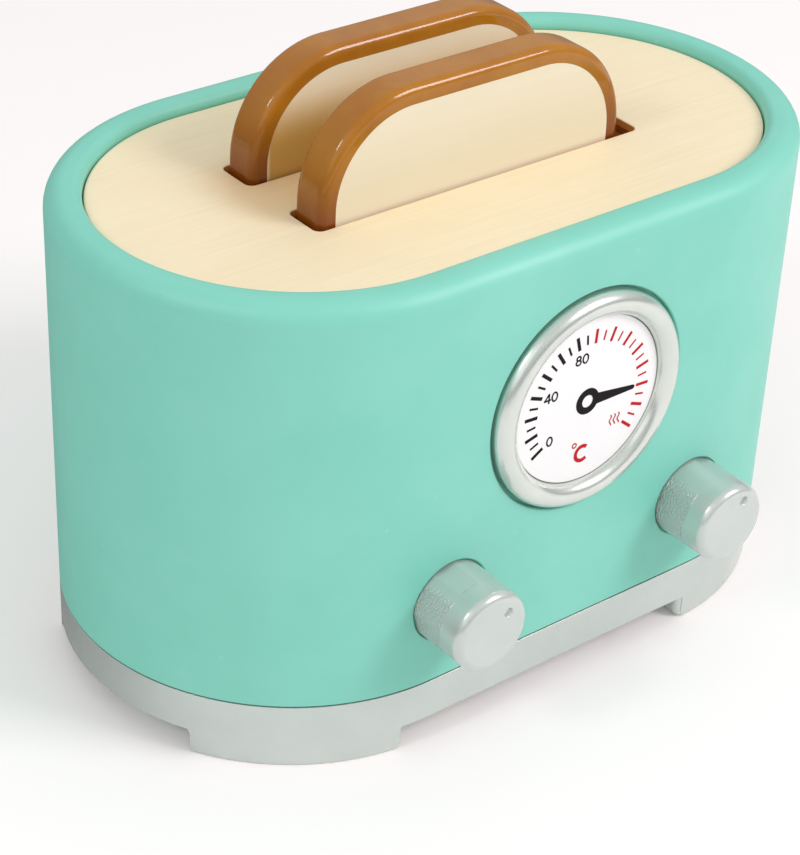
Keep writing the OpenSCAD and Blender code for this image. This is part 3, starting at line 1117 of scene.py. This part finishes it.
class Finishes:
    """Every finish that more than one piece may use, made once."""

    def __init__(self) -> None:
        """Make the materials."""
        top, middle = NodeBox("top_plate").high.z, NodeBox("top_plate").middle
        self.mint = SatinPaint("mint_satin_paint", (126, 208, 190), (120, 204, 185), gloss=0.75).material()
        self.bare = BareWood("bare_wall_wood", (214, 178, 128), (176, 134, 86), Along.HEIGHT).material()
        birch = {"fleck": 0.5, "band": 0.06, "fibre": 1300.0, "middle": tuple(middle.xy)}
        self.plywood = SlottedTop("birch_plywood_top", (240, 228, 194), (234, 218, 181), **birch).material()
        self.plies = PlyEdge("plywood_edge", top).material()
        self.silver = SilverPaint("silver_flake_paint").material()
        # Painted light: a lighter copy of the silver paint for the dial's ring, standing in for the brighter
        # light that the ring catches; it is also more metallic.
        ring = {"colour": (217, 224, 218), "shade": (209, 216, 210), "metallic": 0.8, "glint": 0.12}
        self.lit_ring_silver = SilverPaint("silver_ring_paint_lit", **ring).material()
        self.crust = ToastPaint("toast_crust_paint", top).material()
        # Painted shade: the rear slice's face gets far more golden shade than the front one's, as it stands
        # in the front slice's shade.
        self.crumb = {Row.FRONT: self.toast_face(Row.FRONT, 0.06), Row.REAR: self.toast_face(Row.REAR, 0.86)}
        enamel = {"roughness": 0.35, "peel": 0.000004, "speck": 0.0}
        self.dial = SatinPaint("dial_white", (243, 244, 243), (238, 240, 240), **enamel).material()
        self.black = PrintInk("black_ink", (20, 19, 19), (34, 33, 32)).material()
        self.red = PrintInk("red_ink", (188, 24, 34), (198, 44, 50)).material()
        self.steel = BrightSteel("drawn_steel").material()
        self.beech = BareWood("beech_wood", (217, 184, 138), (188, 146, 98), fleck=0.6).material()
        dowel = {"along": Along.DEPTH, "fleck": 0.5}
        self.dowel = BareWood("beech_dowel", (220, 189, 143), (190, 149, 101), **dowel).material()

    def toast_face(self, row: Row, share: float, rim: float = 4.4) -> Material:
        """Make the finish of a slice's face.

        Args:
            row: Which slice it is.
            share: Share of the painted golden shade in its middle.
            rim: Width of the crust round it.

        Returns:
            The material.
        """
        box = NodeBox("bread_" + row.value)
        return ToastFace(
            "toast_face_" + row.value,
            light=(234, 226, 201),
            dark=(231, 222, 194),
            # Painted golden shade: the warm bounced light and shade between the slices.
            painted_shade_colour=(200, 148, 36),
            roughness=0.6,
            fibre=700.0,
            fleck=0.2,
            band=0.05,
            middle=(box.middle.x, box.middle.z),
            reach=(box.size.x / 2 - rim, box.size.z / 2 - rim),
            share=share,
        ).material()


# ---- Sub-assemblies ----


def settle(piece: bpy.types.Object, body: str, nodes: Sequence[str]) -> None:
    """Tie a piece to its body, and hide the CAD nodes that it stands for.

    Args:
        piece: The piece.
        body: The CAD body that carries it.
        nodes: The CAD nodes that it replaces.
    """
    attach(piece, body)
    if nodes:
        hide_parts(*nodes)
    LOG.info("%s rides on %s", piece.name, body)


@dataclass
class Housing:
    """The painted shell, its plywood top and its silver plinth."""

    finishes: Finishes
    wall: float = 9.0
    rim_outer: float = 5.0
    rim_inner: float = 2.5
    seam_deep: float = 1.0
    seam_high: float = 0.4
    seam_edge: float = 0.15
    foot_h: float = 6.7
    notch_left: float = 49.5
    notch_right: float = 41.0
    end_notch: float = 58.0
    notch_sunk: float = 0.2
    notch_r: float = 0.7
    end_notch_r: float = 2.0
    foot_r: float = 2.2
    foot_edge: float = 0.5
    foot_corner: float = 1.6
    plate_ease: float = 0.5
    slot_ease: float = 0.35
    slot_l: float = 97.8
    slot_w: float = 12.0
    slot_pitch: float = 27.0
    slots_back: float = 1.1
    slot_r: float = 2.0
    side_slope: float = 0.3
    lip: float = 0.5
    lip_out: float = 0.1
    lip_up: float = 0.04
    bezel_seat: float = 0.02
    bezel_gap: float = 0.8
    gap_deep: float = 2.2
    foot_margin: float = 0.35
    foot_recess: float = 1.2
    axle_r: float = 4.08
    pin_gap: float = 0.4
    screw_x: float = 22.0
    screw_r: float = 1.64
    screw_head_r: float = 3.24
    screw_head_h: float = 2.4
    screw_deep: float = 24.6

    def __post_init__(self) -> None:
        """Read the sizes that the frame holds."""
        self.plinth = NodeBox("base_plinth")
        self.shell = NodeBox("body_shell")
        self.plate = NodeBox("top_plate")
        self.radius = self.plinth.size.y / 2
        self.run = self.plinth.size.x / 2 - self.radius
        self.inner = self.radius - self.wall
        self.middle = self.plinth.middle
        self.above = placing(Facing.TOP, (self.middle.x, self.middle.y, 0.0))

    def build(self) -> None:
        """Make the shell, the top and the plinth."""
        settle(self.build_shell(), "housing", ["body_shell"])
        settle(self.build_plate(), "housing", ["top_plate"])
        settle(self.build_plinth(), "housing", ["base_plinth"])

    def swept(self, profile: Sequence[Flat], closed: bool = False) -> Skin:
        """Sweep a profile round the outline.

        Args:
            profile: The radius and the height of each ring.
            closed: Whether the last ring joins the first one.

        Returns:
            The swept form.
        """
        rings = [(round_ended(self.run, radius), height) for radius, height in profile]
        return Skin().loft(rings, self.above, closed)

    def build_shell(self) -> bpy.types.Object:
        """Make the shell, with its recesses and the lever's slot.

        Returns:
            The shell.
        """
        outer, inner = self.radius, self.inner
        low, high = self.plinth.high.z, self.shell.high.z
        edge, floor = self.seam_edge, low + self.seam_high
        profile = [(inner, low), (outer - self.seam_deep, low), (outer - self.seam_deep, floor)]
        profile += arc((outer - edge, floor + edge), edge, -90, 0, 3)
        profile += arc((outer - self.rim_outer, high - self.rim_outer), self.rim_outer, 0, 90, 10)
        profile += arc((inner + self.rim_inner, high - self.rim_inner), self.rim_inner, 90, 180, 6)
        profile += [(inner, self.plate.low.z)]
        shell = self.swept(profile, closed=True).piece("shell", [self.finishes.mint, self.finishes.bare])
        cutter = Skin()
        self.add_recesses(cutter)
        self.add_lever_slot(cutter)
        self.add_screw_holes(cutter)
        carve(shell, cutter)
        paint_faces(shell, lambda point, normal: self.is_bare(point))
        return shell

    def is_bare(self, point: Vector, margin: float = 0.1) -> bool:
        """Say whether a place on the shell is on its bare inside, under the top.

        Args:
            point: The place.
            margin: How far outside the inner face still counts.

        Returns:
            Whether it is.
        """
        across = max(abs(point.x - self.middle.x) - self.run, 0.0)
        reach = math.hypot(across, point.y - self.middle.y)
        return reach < self.inner + margin and point.z < self.plate.low.z

    def lip_profile(self, radius: float) -> list[Flat]:
        """Points of a cutter's edge that leaves a soft lip, from inside the hole to above the surface.

        Args:
            radius: Half the hole's width.

        Returns:
            The points' distances from the middle and their heights over the surface.
        """
        wide = radius + self.lip
        rise = [(wide + self.lip_out, height) for height in (self.lip_up, 2 * PAST)]
        return arc((wide, -self.lip), self.lip, 180, 105, 4) + rise

    def add_recesses(self, cutter: Skin) -> None:
        """Add the recesses of the dial and the knobs, and the bores of the knobs' axles.

        Args:
            cutter: Takes them.
        """
        front = self.plinth.low.y
        dial = NodeBox("dial_bezel")
        seat = dial.size.x / 2 + self.bezel_seat
        gap = dial.size.x / 2 + self.bezel_gap
        profile = [(seat, front - dial.high.y), (seat, -self.gap_deep), (gap, -self.gap_deep)]
        place = placing(Facing.FRONT, (dial.middle.x, front, dial.middle.z))
        cutter.turned(profile + self.lip_profile(gap), place)
        for side in Side:
            knob = NodeBox("knob_" + side.value)
            wide = knob.size.x / 2 + self.foot_margin
            bore = [(self.axle_r, -self.wall - PAST), (self.axle_r, -self.foot_recess)]
            bore += [(wide, -self.foot_recess), *self.lip_profile(wide)]
            cutter.turned(bore, placing(Facing.FRONT, (knob.middle.x, front, knob.middle.z)), 72)

    def add_lever_slot(self, cutter: Skin) -> None:
        """Add the upright slot that the lever's dowel runs in, with its outer edge softened.

        Args:
            cutter: Takes it.
        """
        pin, travel = NodeBox("lever_pin"), lift_travel()
        wide = pin.size.y / 2 + self.pin_gap
        surface = self.plinth.low.x + 2 * self.run + self.radius + math.sqrt(self.radius**2 - wide**2)
        edge = [(wide, -self.wall - 2 * PAST), *self.lip_profile(wide)]
        sections = [(round_rect(0, travel, [0] * 4, grow=reach), out) for reach, out in edge]
        cutter.loft(sections, placing(Facing.END, (surface, pin.middle.y, pin.middle.z - travel / 2)))

    def add_screw_holes(self, cutter: Skin) -> None:
        """Add the holes of the six screws that join plinth and shell.

        Args:
            cutter: Takes them.
        """
        wall_middle = self.radius - self.wall / 2
        spots = [(side * (self.run + wall_middle), 0.0) for side in (-1, 1)]
        spots += [(x * self.screw_x, y * wall_middle) for x in (-1, 1) for y in (-1, 1)]
        profile = [(self.screw_head_r, -PAST), (self.screw_head_r, 0.0)]
        profile += [(self.screw_r, self.screw_head_h), (self.screw_r, self.screw_deep)]
        for x, y in spots:
            place = placing(Facing.TOP, (self.middle.x + x, self.middle.y + y, self.foot_h))
            cutter.turned(profile, place, 32)

    def build_plate(self) -> bpy.types.Object:
        """Make the plywood top, with eased edges and its two slots.

        Returns:
            The top.
        """
        low, high = self.plate.low.z, self.plate.high.z
        reach, ease = self.plate.size.y / 2, self.plate_ease
        profile = [(reach, low), *arc((reach - ease, high - ease), ease, 0, 90, 4)]
        plate = self.swept(profile).piece("plywood_top", [self.finishes.plywood, self.finishes.plies])
        ease = self.slot_ease
        edge = [(0.0, low - PAST), *arc((ease, high - ease), ease, 180, 90, 4), (ease, high + PAST)]
        size = (self.slot_l, self.slot_w, [self.slot_r] * 4, 8)
        cutter = Skin()
        for side in (-1, 1):
            y = self.plate.middle.y + self.slots_back + side * self.slot_pitch / 2
            place = placing(Facing.TOP, (self.plate.middle.x, y, 0.0))
            cutter.loft([(round_rect(*size, grow=grow), height) for grow, height in edge], place)
        carve(plate, cutter, 50.0)
        paint_faces(plate, lambda point, normal: abs(normal.z) < self.side_slope)
        return plate

    def notch_outline(self, left: float, right: float, corner: float) -> list[Flat]:
        """The outline of a notch between two feet, from below the table up.

        Args:
            left: Distance from the middle to the notch's left side.
            right: Distance from the middle to its right side.
            corner: Rounding of its two upper corners.

        Returns:
            The outline, anticlockwise.
        """
        top, foot = self.foot_h, self.foot_r
        points = [(right + foot, -PAST)]
        points += arc((right + foot, foot), foot, 270, 180, 6)
        points += arc((right - corner, top - corner), corner, 0, 90, 6)
        points += arc((corner - left, top - corner), corner, 90, 180, 6)
        points += arc((-left - foot, foot), foot, 0, -90, 6)
        return [*points, (-left - foot, -PAST)]

    def notch_cutter(self, left: float, right: float, corner: float, face: float, facing: Facing) -> Skin:
        """Make the cutter of a notch that runs through the plinth, wider at its mouths to round the feet.

        Args:
            left: The notch's reach to its left.
            right: Its reach to its right.
            corner: Its upper corners' rounding.
            face: Distance from the middle to the plinth's face at the notch.
            facing: The side that it opens to.

        Returns:
            The cutter.
        """
        bend = arc((self.foot_corner, -self.foot_corner), self.foot_corner, 180, 90, 5)
        mouth = [(grow, face + out) for grow, out in [*bend, (self.foot_corner, self.plinth.size.x)]]
        stations = [(grow, -out) for grow, out in reversed(mouth)] + mouth
        sections = [(self.notch_outline(left + grow, right + grow, corner), out) for grow, out in stations]
        return Skin().loft(sections, placing(facing, (self.middle.x, self.middle.y, 0.0)))

    def build_plinth(self) -> bpy.types.Object:
        """Make the plinth, with its feet left between the notches.

        Returns:
            The plinth.
        """
        edge, seam, radius = self.foot_edge, self.seam_edge / 2, self.radius
        profile = arc((radius - edge, edge), edge, -90, 0, 4)
        profile += arc((radius - seam, self.plinth.high.z - seam), seam, 0, 90, 3)
        plinth = self.swept(profile).piece("plinth", [self.finishes.silver])
        half = self.end_notch / 2
        front, end = radius - self.notch_sunk, self.run + math.sqrt(radius**2 - half**2)
        screws = Skin()
        self.add_screw_holes(screws)
        for cutter in (
            self.notch_cutter(self.notch_left, self.notch_right, self.notch_r, front, Facing.FRONT),
            self.notch_cutter(half, half, self.end_notch_r, end, Facing.END),
            screws,
        ):
            carve(plinth, cutter)
        return plinth


@dataclass
class Dial:
    """The silver ring, the white face and the printed scale, figures and pointer."""

    finishes: Finishes
    ring_gap: float = 0.15
    face_ease: float = 0.2
    tick_first: float = -122.5
    tick_step: float = 9.0
    tick_count: int = 29
    black_count: int = 14
    long_tick: Flat = (15.6, 19.4)
    long_widths: Flat = (0.92, 0.8)
    short_tick: Flat = (16.0, 18.6)
    short_widths: Flat = (0.57, 0.48)
    pointer_angle: float = 94.0
    pointer_reach: float = 15.1
    pointer_widths: Flat = (3.0, 1.2)
    hub_r: float = 3.5
    hub_hole_r: float = 1.65
    numbers: Sequence[tuple[str, Flat]] = (("0", (-11.1, -7.3)), ("40", (-11.7, 5.0)), ("80", (-2.9, 12.35)))
    digit_high: float = 2.8
    digit_stroke: float = 0.44
    digit_pitch: float = 2.15
    thin_stroke: float = 0.34
    letter_r: float = 2.0
    letter_stroke: float = 1.0
    letter_at: Flat = (-0.3, -14.5)
    degree_r: float = 0.62
    degree_at: Flat = (-2.9, -11.5)
    wave_pitch: float = 1.25
    wave_wide: float = 0.28
    wave_high: float = 3.0
    wave_at: Flat = (9.4, -8.3)
    print_crease: float = 20.0
    print_t: float = 0.05
    print_sink: float = 0.02
    print_step: float = 0.0004
    print_at: Flat = (0.05, -0.5)

    def __post_init__(self) -> None:
        """Read the dial's place and sizes from the frame."""
        self.ring = NodeBox("dial_bezel")
        self.face = NodeBox("dial_face")
        x, front, z = self.ring.middle.x, self.face.low.y, self.ring.middle.z
        self.place = placing(Facing.FRONT, (x, front, z))
        self.print_place = placing(Facing.FRONT, (x + self.print_at[0], front, z + self.print_at[1]))
        self.layer = 0

    def build(self) -> None:
        """Make the ring, the face and the print."""
        settle(self.build_ring(), "housing", ["dial_bezel"])
        settle(self.build_face(), "housing", ["dial_face"])
        black, red = Skin(), Skin()
        self.add_ticks(black, red)
        self.add_pointer(black)
        self.add_figures(black, red)
        for name, skin, ink in (("black", black, self.finishes.black), ("red", red, self.finishes.red)):
            made = skin.piece("dial_print_" + name, [ink], self.print_crease)
            settle(made, "housing", [])

    def build_ring(self) -> bpy.types.Object:
        """Make the ring, half round in front.

        Returns:
            The ring.
        """
        outer, inner = self.ring.size.x / 2, self.face.size.x / 2 + self.ring_gap
        half = (outer - inner) / 2
        back, out = self.face.low.y - self.ring.high.y, self.face.low.y - self.ring.low.y
        profile = [(outer, back), *arc((inner + half, out - half), half, 0, 180, 24), (inner, back)]
        ring = Skin().turned(profile, self.place, 144, closed=True)
        return ring.piece("dial_ring", [self.finishes.lit_ring_silver])

    def build_face(self) -> bpy.types.Object:
        """Make the white face.

        Returns:
            The face.
        """
        radius, ease = self.face.size.x / 2, self.face_ease
        profile = [(radius, -self.face.size.y), *arc((radius - ease, -ease), ease, 0, 90, 3)]
        return Skin().turned(profile, self.place, 120).piece("dial_face_disc", [self.finishes.dial])

    def press(self, skin: Skin, outlines: Sequence[Sequence[Flat]]) -> None:
        """Print one flat shape, a hair above the last so that no two lie in one plane."""
        self.layer += 1
        skin.slab(outlines, -self.print_sink, self.print_t + self.print_step * self.layer, self.print_place)

    def stroke(self, skin: Skin, path: Sequence[Flat], at: Flat, width: float, closed: bool = False) -> None:
        """Print one stroke, whose path starts from a place on the dial."""
        self.press(skin, ribbon([(at[0] + x, at[1] + y) for x, y in path], width, closed))

    def add_ticks(self, black: Skin, red: Skin) -> None:
        """Print the scale's long and short marks.

        Args:
            black: Takes the black marks.
            red: Takes the red marks.
        """
        kinds = ((self.long_tick, self.long_widths), (self.short_tick, self.short_widths))
        for i in range(self.tick_count):
            is_red = i >= self.black_count
            reach, widths = kinds[i % 2]
            ends = [clock_point(self.tick_first + self.tick_step * i, radius) for radius in reach]
            self.press(red if is_red else black, ribbon(ends, widths[is_red]))

    def add_pointer(self, black: Skin) -> None:
        """Print the pointer with its round hub.

        Args:
            black: Takes the pointer.
        """
        hub = self.hub_r
        thick, thin = self.pointer_widths
        half = math.degrees(math.asin(thick / 2 / hub))
        outline = arc((0, 0), hub, half, 360 - half, 40)
        outline += arc((self.pointer_reach - thin / 2, 0), thin / 2, -90, 90, 8)
        turn = math.radians(90 - self.pointer_angle)
        cos, sin = math.cos(turn), math.sin(turn)
        shapes = (outline, arc((0, 0), self.hub_hole_r, 360, 12, 29))
        self.press(black, [[(x * cos - y * sin, x * sin + y * cos) for x, y in shape] for shape in shapes])

    def figure(self, skin: Skin, digit: str, at: Flat) -> None:
        """Print one digit.

        Args:
            skin: Takes the digit.
            digit: Which of 0, 4 and 8 it is.
            at: Its middle on the dial.
        """
        half = (self.digit_high - self.digit_stroke) / 2
        for shares in DIGIT_OVALS.get(digit, []):
            self.stroke(skin, oval(*[half * share for share in shares]), at, self.digit_stroke, True)
        for bar in DIGIT_BARS.get(digit, []):
            self.stroke(skin, [(half * x, half * y) for x, y in bar], at, self.digit_stroke)

    def add_figures(self, black: Skin, red: Skin) -> None:
        """Print the numbers, the letter of the unit and the three wavy lines.

        Args:
            black: Takes the numbers.
            red: Takes the rest.
        """
        for word, (x, y) in self.numbers:
            for i, digit in enumerate(word):
                self.figure(black, digit, (x + self.digit_pitch * (i - (len(word) - 1) / 2), y))
        self.stroke(red, arc((0, 0), self.letter_r, 48, 312, 28), self.letter_at, self.letter_stroke)
        self.stroke(red, circle(self.degree_r, 16), self.degree_at, self.thin_stroke, True)
        wide, high = self.wave_wide, self.wave_high
        wave = [(wide * math.sin(2 * math.pi * t / 12), high / 2 - high * t / 16) for t in range(17)]
        x, y = self.wave_at
        for i in (-1, 0, 1):
            self.stroke(red, wave, (x + self.wave_pitch * i, y), self.thin_stroke)


@dataclass
class Knob:
    """A turned knob with shallow flats round its back part and a drilled mark in its face."""

    side: Side
    mark: Flat
    flat_angle: float
    grain_angle: float
    flats: int = 4
    flat_deep: float = 0.4
    flat_land: float = 6.5
    step: float = 0.35
    edge: float = 2.2
    mark_profile: Sequence[Flat] = ((0.05, -1.2), (0.85, -0.95), (1.1, -0.25), (1.35, 0.05), (1.45, 0.4))
    crease: float = 22.0
    steps: int = 180

    def __post_init__(self) -> None:
        """Read the knob's place and sizes from the frame."""
        self.node = "knob_" + self.side.value
        self.box = NodeBox(self.node)
        self.radius = self.box.size.x / 2

    def outline(self, radius: float, flat: bool) -> list[Flat]:
        """The knob's outline at one depth, clockwise from the top.

        Args:
            radius: Its radius.
            flat: Whether the flats are cut into it.

        Returns:
            The outline's points.
        """
        pitch = 360 / self.flats
        points = []
        for i in range(self.steps):
            angle = 360 * i / self.steps
            away = (angle - self.flat_angle + pitch / 2) % pitch - pitch / 2
            reach = (radius - self.flat_deep) / math.cos(math.radians(away))
            points.append(clock_point(angle, min(reach, radius) if flat else radius))
        return points

    def build(self) -> None:
        """Make the knob."""
        box, radius, long = self.box, self.radius, self.box.size.y
        land = -self.flat_land
        head = [*arc((radius - self.edge, -self.edge), self.edge, 90, 0, 8), (radius, land)]
        sections = [(self.outline(wide, False), out) for wide, out in head]
        sections += [(self.outline(radius, True), out) for out in (land - self.step, -long)]
        sections += [(self.outline(BORE_R, False), out) for out in (-long, BORE_DEEP - long)]
        x, z = box.middle.x, box.middle.z
        skin = Skin().loft(sections, placing(Facing.FRONT, (x, box.low.y, z)))
        made = skin.piece("turned_" + self.node, [self.paint()], self.crease)
        mark = placing(Facing.FRONT, (x + self.mark[0], box.low.y, z + self.mark[1]))
        carve(made, Skin().turned(self.mark_profile, mark, 32), self.crease)
        settle(made, self.side.value + "_knob", [self.node])

    def paint(self) -> Material:
        """Make this knob's paint, with the end grain where it shows.

        Returns:
            The material.
        """
        start = self.flat_land - self.box.size.y / 2
        grain = {"axis": tuple(self.box.middle), "grain_from": start, "grain_angle": self.grain_angle}
        return SilverPaint("silver_" + self.node, metallic=0.45, **grain).material()


@dataclass
class Lever:
    """The handle of the lift, outside the right end."""

    finishes: Finishes
    edge: float = 2.5
    ease: float = 0.4

    def build(self) -> None:
        """Make the handle."""
        box = NodeBox("lever_handle")
        thick, wide, high = box.size
        rim = arc((self.edge, thick - self.edge), self.edge, 180, 90, 8)
        stations = [(self.ease, 0.0), (0.0, self.ease), *rim]
        shape = (wide, high, [high / 2] * 4, 16)
        place = placing(Facing.END, (box.low.x, box.middle.y, box.middle.z))
        skin = Skin().loft([(round_rect(*shape, grow=-inset), out) for inset, out in stations], place)
        handle = skin.piece("lever_grip", [self.finishes.silver])
        carve(handle, Skin().turned([(BORE_R, -PAST), (BORE_R, BORE_DEEP)], place, 64))
        settle(handle, "lift", ["lever_handle"])


@dataclass
class Slice:
    """A slice of toast: a painted crust round its front face and its paler back face."""

    finishes: Finishes
    row: Row
    crown_r: float = 26.0
    heel_r: float = 10.0
    crust_r: float = 2.3
    crust_band: float = 4.4
    paint_t: float = 0.05

    def build(self) -> None:
        """Make the slice."""
        name = self.row.value
        box = NodeBox("bread_" + name)
        half = box.size.y / 2
        front = [(self.crust_band + self.paint_t, half - self.paint_t), (self.crust_band, half)]
        front += arc((self.crust_r, half - self.crust_r), self.crust_r, 90, 180, 8)
        stations = front + [(inset, -out) for inset, out in reversed(front)]
        shape = (box.size.x, box.size.z, [self.heel_r, self.crown_r, self.crown_r, self.heel_r], 24)
        sections = [(round_rect(*shape, grow=-inset), out) for inset, out in stations]
        skin = Skin().loft(sections, placing(Facing.FRONT, box.middle), caps=(1, 2))
        crumb = self.finishes.crumb
        made = skin.piece("toast_" + name, [self.finishes.crust, crumb[self.row], crumb[Row.FRONT]], 30.0)
        settle(made, name + "_slice", ["bread_" + name])


@dataclass
class Spring:
    """A coil spring round a guide rod, which closes up as the lift goes down."""

    finishes: Finishes
    side: Side
    turns: int = 9
    flat_turns: float = 0.75
    wire_r: float = 0.6
    steps: int = 24

    def __post_init__(self) -> None:
        """Read the spring's sizes from the frame."""
        self.node = "lift_spring_" + self.side.value
        self.box = NodeBox(self.node)

    def wire_middle(self, turn: float) -> Vector:
        """Place of the wire's middle after some turns, out from the spring's own axis.

        Args:
            turn: Turns of the wire up to this place.

        Returns:
            The place, with its height in the frame.
        """
        low, high = self.box.low.z + self.wire_r, self.box.high.z - self.wire_r
        share = (turn - self.flat_turns) / (self.turns - 2 * self.flat_turns)
        reach = self.box.size.y / 2 - self.wire_r
        angle = 2 * math.pi * turn
        height = low + (high - low) * min(max(share, 0.0), 1.0)
        return Vector((reach * math.cos(angle), reach * math.sin(angle), height))

    def build(self) -> None:
        """Make the spring round its guide rod, with a mesh of its own."""
        axis = NodeBox("guide_rod_" + self.side.value).middle.xy.to_3d()
        nudge = 0.5 / self.steps
        skin = Skin()
        rings = []
        for i in range(self.turns * self.steps + 1):
            turn = i / self.steps
            middle = self.wire_middle(turn)
            run = (self.wire_middle(turn + nudge) - self.wire_middle(turn - nudge)).normalized()
            out = Vector((middle.x, middle.y, 0.0)).normalized()
            up = run.cross(out)
            rings.append(skin.ring(axis + middle + out * x + up * y for x, y in circle(self.wire_r, 8)))
        skin.stack(rings)
        made = skin.piece("coil_" + self.side.value, [self.finishes.steel], 60.0)
        settle(made, "housing", [self.node])
        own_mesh(made)


class InnerWorks:
    """The CAD pieces inside, which keep their shape and get a better finish."""

    def __init__(self, finishes: Finishes) -> None:
        """Choose a finish for each piece.

        Args:
            finishes: The toy's finishes.
        """
        beech = ("cleat_front", "cleat_rear", "toast_tray", "lever_post", "lever_pin")
        steel = ["base_screws", "lever_screws"]
        steel += [name + side.value for side in Side for name in ("guide_rod_", "washer_", "axle_screw_")]
        self.choice: dict[str, Material] = dict.fromkeys(beech, finishes.beech)
        self.choice.update({"axle_" + side.value: finishes.dowel for side in Side})
        self.choice.update(dict.fromkeys(steel, finishes.steel))

    def dress(self) -> None:
        """Give each piece its finish."""
        for name, material in self.choice.items():
            piece = frame["nodes"][name]
            piece.data.materials.clear()
            piece.data.materials.append(material)
            LOG.info("%s keeps its shape, in %s", name, material.name)


# ---- Studio ----


def look_at(thing: bpy.types.Object, at: Vector, aim: Vector, roll: float = 0.0) -> None:
    """Place a light or the camera, and turn it towards a point.

    Args:
        thing: The light or the camera.
        at: Its place in metres.
        aim: The point that it looks at.
        roll: Its turn about that line in degrees.
    """
    thing.location = at
    thing.rotation_mode = "QUATERNION"
    turn = Quaternion((0, 0, 1), math.radians(roll))
    thing.rotation_quaternion = (aim - at).to_track_quat("-Z", "Y") @ turn


@dataclass(frozen=True)
class SoftLight:
    """A soft light with a square panel, in metres and watts."""

    name: str
    at: Sequence[float]
    aim: Sequence[float]
    size: float
    power: float
    colour: Sequence[float] = (1.0, 1.0, 1.0)

    def hang(self) -> None:
        """Hang the light."""
        data = bpy.data.lights.new(self.name, "AREA")
        data.size, data.energy, data.color = self.size, self.power, self.colour
        look_at(stand(self.name, data), Vector(self.at), Vector(self.aim))


@dataclass
class Studio:
    """The camera at the photograph's view, a pale floor and soft lights."""

    camera_at: Sequence[float] = (-0.33709, -0.40506, 0.38229)
    camera_aim: Sequence[float] = (-0.03566, -0.03472, 0.075)
    camera_roll: float = 2.651
    lens: float = 101.79
    floor_reach: float = 4000.0
    sky_power: float = 0.76
    sky_low: Colour = (170, 172, 172)
    lights: Sequence[SoftLight] = (
        SoftLight("key_light", (0.8, -1.1, 1.1), (0.0, 0.0, 0.05), 0.58, 14.0, (1.0, 0.89, 0.92)),
        SoftLight("fill_light", (-1.2, -0.6, 0.9), (0.0, 0.0, 0.05), 1.1, 2.0),
        SoftLight("strip_light", (-0.95, -0.02, 0.86), (0.0, 0.0, 0.12), 0.17, 1.6),
    )

    def build(self) -> None:
        """Make the camera, the floor and the lights."""
        self.add_camera()
        self.add_floor()
        self.add_sky()
        for light in self.lights:
            light.hang()
        bpy.context.scene.view_settings.view_transform = "Standard"

    def add_camera(self) -> None:
        """Put the camera where the photograph was taken from, as seen from the middle of the plinth."""
        middle = NodeBox("base_plinth").middle.xy.to_3d() * MM
        data = bpy.data.cameras.new("camera")
        data.lens, data.sensor_width = self.lens, 36.0
        data.clip_start, data.clip_end = 0.01, 20.0
        camera = stand("camera", data)
        look_at(camera, Vector(self.camera_at) + middle, Vector(self.camera_aim) + middle, self.camera_roll)
        bpy.context.scene.camera = camera

    def add_floor(self) -> None:
        """Lay the pale floor."""
        reach = self.floor_reach
        skin = Skin()
        skin.face(skin.ring([(-reach, -reach, 0), (reach, -reach, 0), (reach, reach, 0), (-reach, reach, 0)]))
        floor = skin.piece("floor", [PaleFloor("pale_floor").material()])

    def add_sky(self) -> None:
        """Light everything softly from all round, a little less from low down."""
        world = bpy.data.worlds.new("studio_sky")
        world.use_nodes = True
        world.node_tree.nodes.clear()
        tree = Shading(world.node_tree)
        height = tree.axes(tree.node("TexCoord").outputs["Generated"])["Z"]
        tone = tree.tones(height, self.sky_low, (255, 255, 255), -0.1, 0.6)
        sky = tree.node("Background", {"Color": tone, "Strength": self.sky_power})
        tree.node("OutputWorld", {"Surface": sky.outputs["Background"]})
        bpy.context.scene.world = world


def main() -> None:
    """Build the toy, sub-assembly by sub-assembly, and the studio round it."""
    logging.basicConfig(level=logging.INFO, format="%(name)s: %(message)s")
    Studio().build()
    finishes = Finishes()
    Housing(finishes).build()
    Dial(finishes).build()
    Knob(Side.LEFT, mark=(4.2, 4.4), flat_angle=-14, grain_angle=-84).build()
    Knob(Side.RIGHT, mark=(3.05, 6.25), flat_angle=20, grain_angle=-80).build()
    Lever(finishes).build()
    for row in Row:
        Slice(finishes, row).build()
    for side in Side:
        Spring(finishes, side).build()
    InnerWorks(finishes).dress()


if __name__ == "__main__":
    main()
